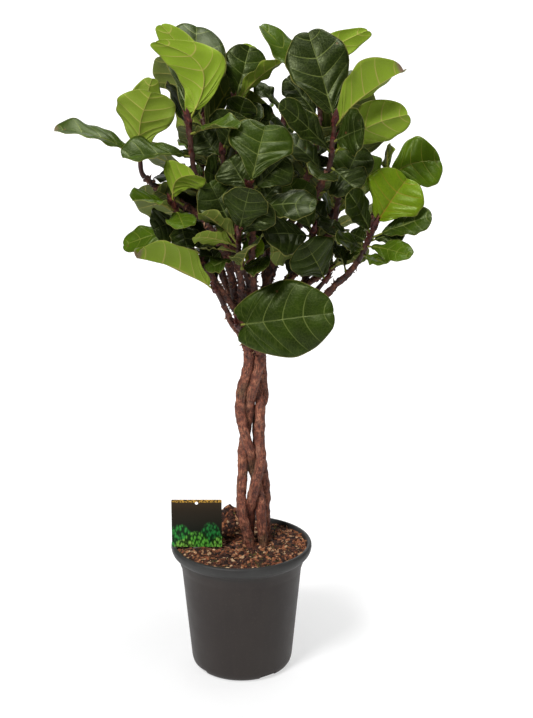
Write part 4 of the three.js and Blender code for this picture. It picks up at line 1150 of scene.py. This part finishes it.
standing = []
for name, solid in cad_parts.items():
    if name.startswith(("shoot_", "stem_")):
        points = [corner.co / MM for corner in solid.data.vertices]
        standing.append(skin_tree(points, [list(face.vertices) for face in solid.data.polygons]))
shape = Shape(*leaf_marks)
kept = 0
for _ in range(inner_tries):
    limb = limbs[spare.choice(sorted(limbs))]
    path = run(limb.path, 12)
    i = spare.randrange(len(path) // 3, len(path) - 1)
    along = (path[i + 1] - path[i]).normalized()
    out = Matrix.Rotation(spare.uniform(0, 2 * math.pi), 3, along) @ along.orthogonal().normalized()
    lift = math.radians(spare.uniform(5, 60))
    length = spare.uniform(62, 118)
    root = path[i] + out * (limb.thin - root_sunk)
    tip = root + (out * math.cos(lift) + along * math.sin(lift)) * length
    off = (tip + root) / 2 - crown_middle
    inside = inner_low < tip.z < inner_high and root.z >= inner_low - root_below
    if not inside or Vector((off.x, off.y)).length > inner_reach:
        continue
    face = along * math.cos(lift) - out * math.sin(lift) + Vector((0, -0.5, 0.3))
    width = length * spare.uniform(0.58, 0.78)
    # Ages under zero keep the inner leaves at the darkest leaf tone with fainter veins: partly old-leaf
    # colour, partly painted shade inside the crown.
    leaf = Leaf(1, spare.uniform(-0.12, 0.06), tip, face, width, bend=spare.uniform(10, 50),
                fold=spare.uniform(8, 24), stalk=9, wave=3, puff=inner_puff).rooted(root)
    trees = [coarse_blade(leaf, above) for above in (room_above, -room_below)]
    if any(tree.overlap(other) for tree in trees for other in standing):
        continue
    standing += trees
    add_blade(shape, leaf, spare.random(), inner_parts, inner_steps)
    add_stalk(shape, leaf, spare.random())
    kept += 1
    if kept == inner_count:
        break
inner = shape.made("inner_leaves", [leaf_finishes[0]])
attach(inner, "root")

# Tag: a printed card of thin plastic on a flat stake pushed into the soil, with a hole near its top edge.
# Its face is a plain picture of round green hills under a dark sky with an ochre band.
card_left, card_right, card_low, card_high = -131.5, -36.5, 250.6, 345.6
card_y, card_thick, corner_radius = -30, 0.9, 2.5
stake_left, stake_right, stake_foot, stake_point = -91, -77, 170, 10
hole_x, hole_z, hole_radius, hole_sides = -84, 338.6, 3, 24
band_low, band_high = 339.5, 340.5
hills = [
    (-116, 262, 24, 34, (50, 146, 60)), (-58, 258, 22, 42, (40, 130, 58)), (-86, 256, 26, 26, (100, 186, 66)),
    (-40, 250, 20, 22, (126, 200, 78)), (-108, 250, 20, 16, (140, 206, 84)),
]

card_finish, where = finish("tag_card")
x, y, z = node(where, "ShaderNodeSeparateXYZ", {0: where}).outputs
colour = ramp(spread(z, card_low * MM, card_high * MM),
              (0, 14, 20, 10), (0.3, 14, 20, 10), (0.75, 36, 28, 16), (1, 54, 40, 22))
slanted = node(where, "ShaderNodeMapping", {0: where, "Rotation": (0, 0.7, 0), "Scale": (1, 1, 0.5)})
leafy = spread(cells(slanted.outputs[0], 260), 0.2, 0.66, 1, 0.05)
for centre_x, centre_z, wide, high, tone in hills:
    dx = times(number("SUBTRACT", x, centre_x * MM), 1 / (wide * MM))
    dz = times(number("SUBTRACT", z, centre_z * MM), 1 / (high * MM))
    away = number("ADD", times(dx, dx), times(dz, dz))
    hill = mixed(leafy, srgb(8, 26, 10), srgb(*tone))
    colour = mixed(spread(away, 0.8, 1.1, 1, 0), colour, hill)
speckled = spread(cloud(where, 420, 2), 0.45, 0.55)
band = times(spread(z, band_low * MM, band_high * MM), speckled)
colour = mixed(band, colour, srgb(196, 150, 58))
front = number("LESS_THAN", y, (card_y - 0.2) * MM)
printed = times(front, number("GREATER_THAN", z, (card_low - 0.5) * MM))
coat(card_finish, mixed(printed, srgb(120, 118, 112), colour), 0.4, shine=0.15)


def plate(outline, y_front, y_back):
    """A flat closed plate from its outline in x and z."""
    count = len(outline)
    points = [(px, y, pz) for y in (y_front, y_back) for px, pz in outline]
    faces = [tuple(range(count)), tuple(range(2 * count - 1, count - 1, -1))]
    for i in range(count):
        j = (i + 1) % count
        faces.append((i, i + count, j + count, j))
    return points, faces


def arc(centre_x, centre_z, radius, angles):
    return [(centre_x + radius * math.cos(a), centre_z + radius * math.sin(a)) for a in angles]


inner_left, inner_right = card_left + corner_radius, card_right - corner_radius
inner_low, inner_high = card_low + corner_radius, card_high - corner_radius
outline = []
for centre_x, centre_z, starts in ((inner_right, inner_low, -90), (inner_right, inner_high, 0),
                                   (inner_left, inner_high, 90), (inner_left, inner_low, 180)):
    outline += arc(centre_x, centre_z, corner_radius, [math.radians(starts + 15 * k) for k in range(7)])
outline += [(stake_left, card_low), (stake_left, stake_foot + stake_point),
            ((stake_left + stake_right) / 2, stake_foot), (stake_right, stake_foot + stake_point),
            (stake_right, card_low)]
card = piece("picture_tag", *plate(outline, card_y - card_thick / 2, card_y + card_thick / 2),
             [card_finish], False)
hole = arc(hole_x, hole_z, hole_radius, np.linspace(0, 2 * math.pi, hole_sides, endpoint=False))
cut_out(card, *plate(hole, card_y - 3, card_y + 3))
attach(card, "root")
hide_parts("plant_tag")

# Stage: a pale floor that curves up behind, three soft lights and a camera at the photo's place.
floor_path = [(-4500, 0), (3300, 0), (3700, 80), (4000, 300), (4150, 700), (4200, 1300), (4200, 4400)]
floor_half, floor_under = 2600, 0.2
floor_finish, where = finish("floor")
behind = node(where, "ShaderNodeSeparateXYZ", {0: where}).outputs[1]
coat(floor_finish, srgb(176, 176, 176), 0.8)
feed(floor_finish.node_tree.nodes["Principled BSDF"], {
    "Emission Color": (1, 1, 1, 1),
    "Emission Strength": spread(behind, 0.3, 2.4, 0.6, 0.95)})
points = [(x, y, z - floor_under) for y, z in floor_path for x in (-floor_half, floor_half)]
faces = [(2 * i, 2 * i + 1, 2 * i + 3, 2 * i + 2) for i in range(len(floor_path) - 1)]
floor = piece("floor", points, faces, [floor_finish])

lit_point = Vector((0, 0, 0.65))
for name, place, power, size in (("key_light", (-1.25, -2.05, 2.85), 105, 0.8),
                                 ("fill_light", (2.2, -1.8, 1.6), 10, 1.4),
                                 ("top_light", (0.3, 0.2, 3.2), 60, 1.2)):
    light = bpy.data.objects.new(name, bpy.data.lights.new(name, "AREA"))
    light.data.energy = power
    light.data.size = size
    light.location = place
    light.rotation_euler = (lit_point - Vector(place)).to_track_quat("-Z", "Y").to_euler()
    bpy.context.scene.collection.objects.link(light)

world = bpy.data.worlds.new("pale_room")
world.use_nodes = True
feed(world.node_tree.nodes["Background"], {"Color": srgb(238, 240, 242), "Strength": 0.08})
bpy.context.scene.world = world

looks_down = 14.25
camera = bpy.data.objects.new("camera", bpy.data.cameras.new("camera"))
camera.data.lens = 61.42
camera.data.sensor_width = 36
camera.location = (0.048, -2.2, 1.17)
camera.rotation_euler = (math.radians(90 - looks_down), 0, 0)
bpy.context.scene.collection.objects.link(camera)
bpy.context.scene.camera = camera
bpy.context.scene.view_settings.view_transform = "Standard"
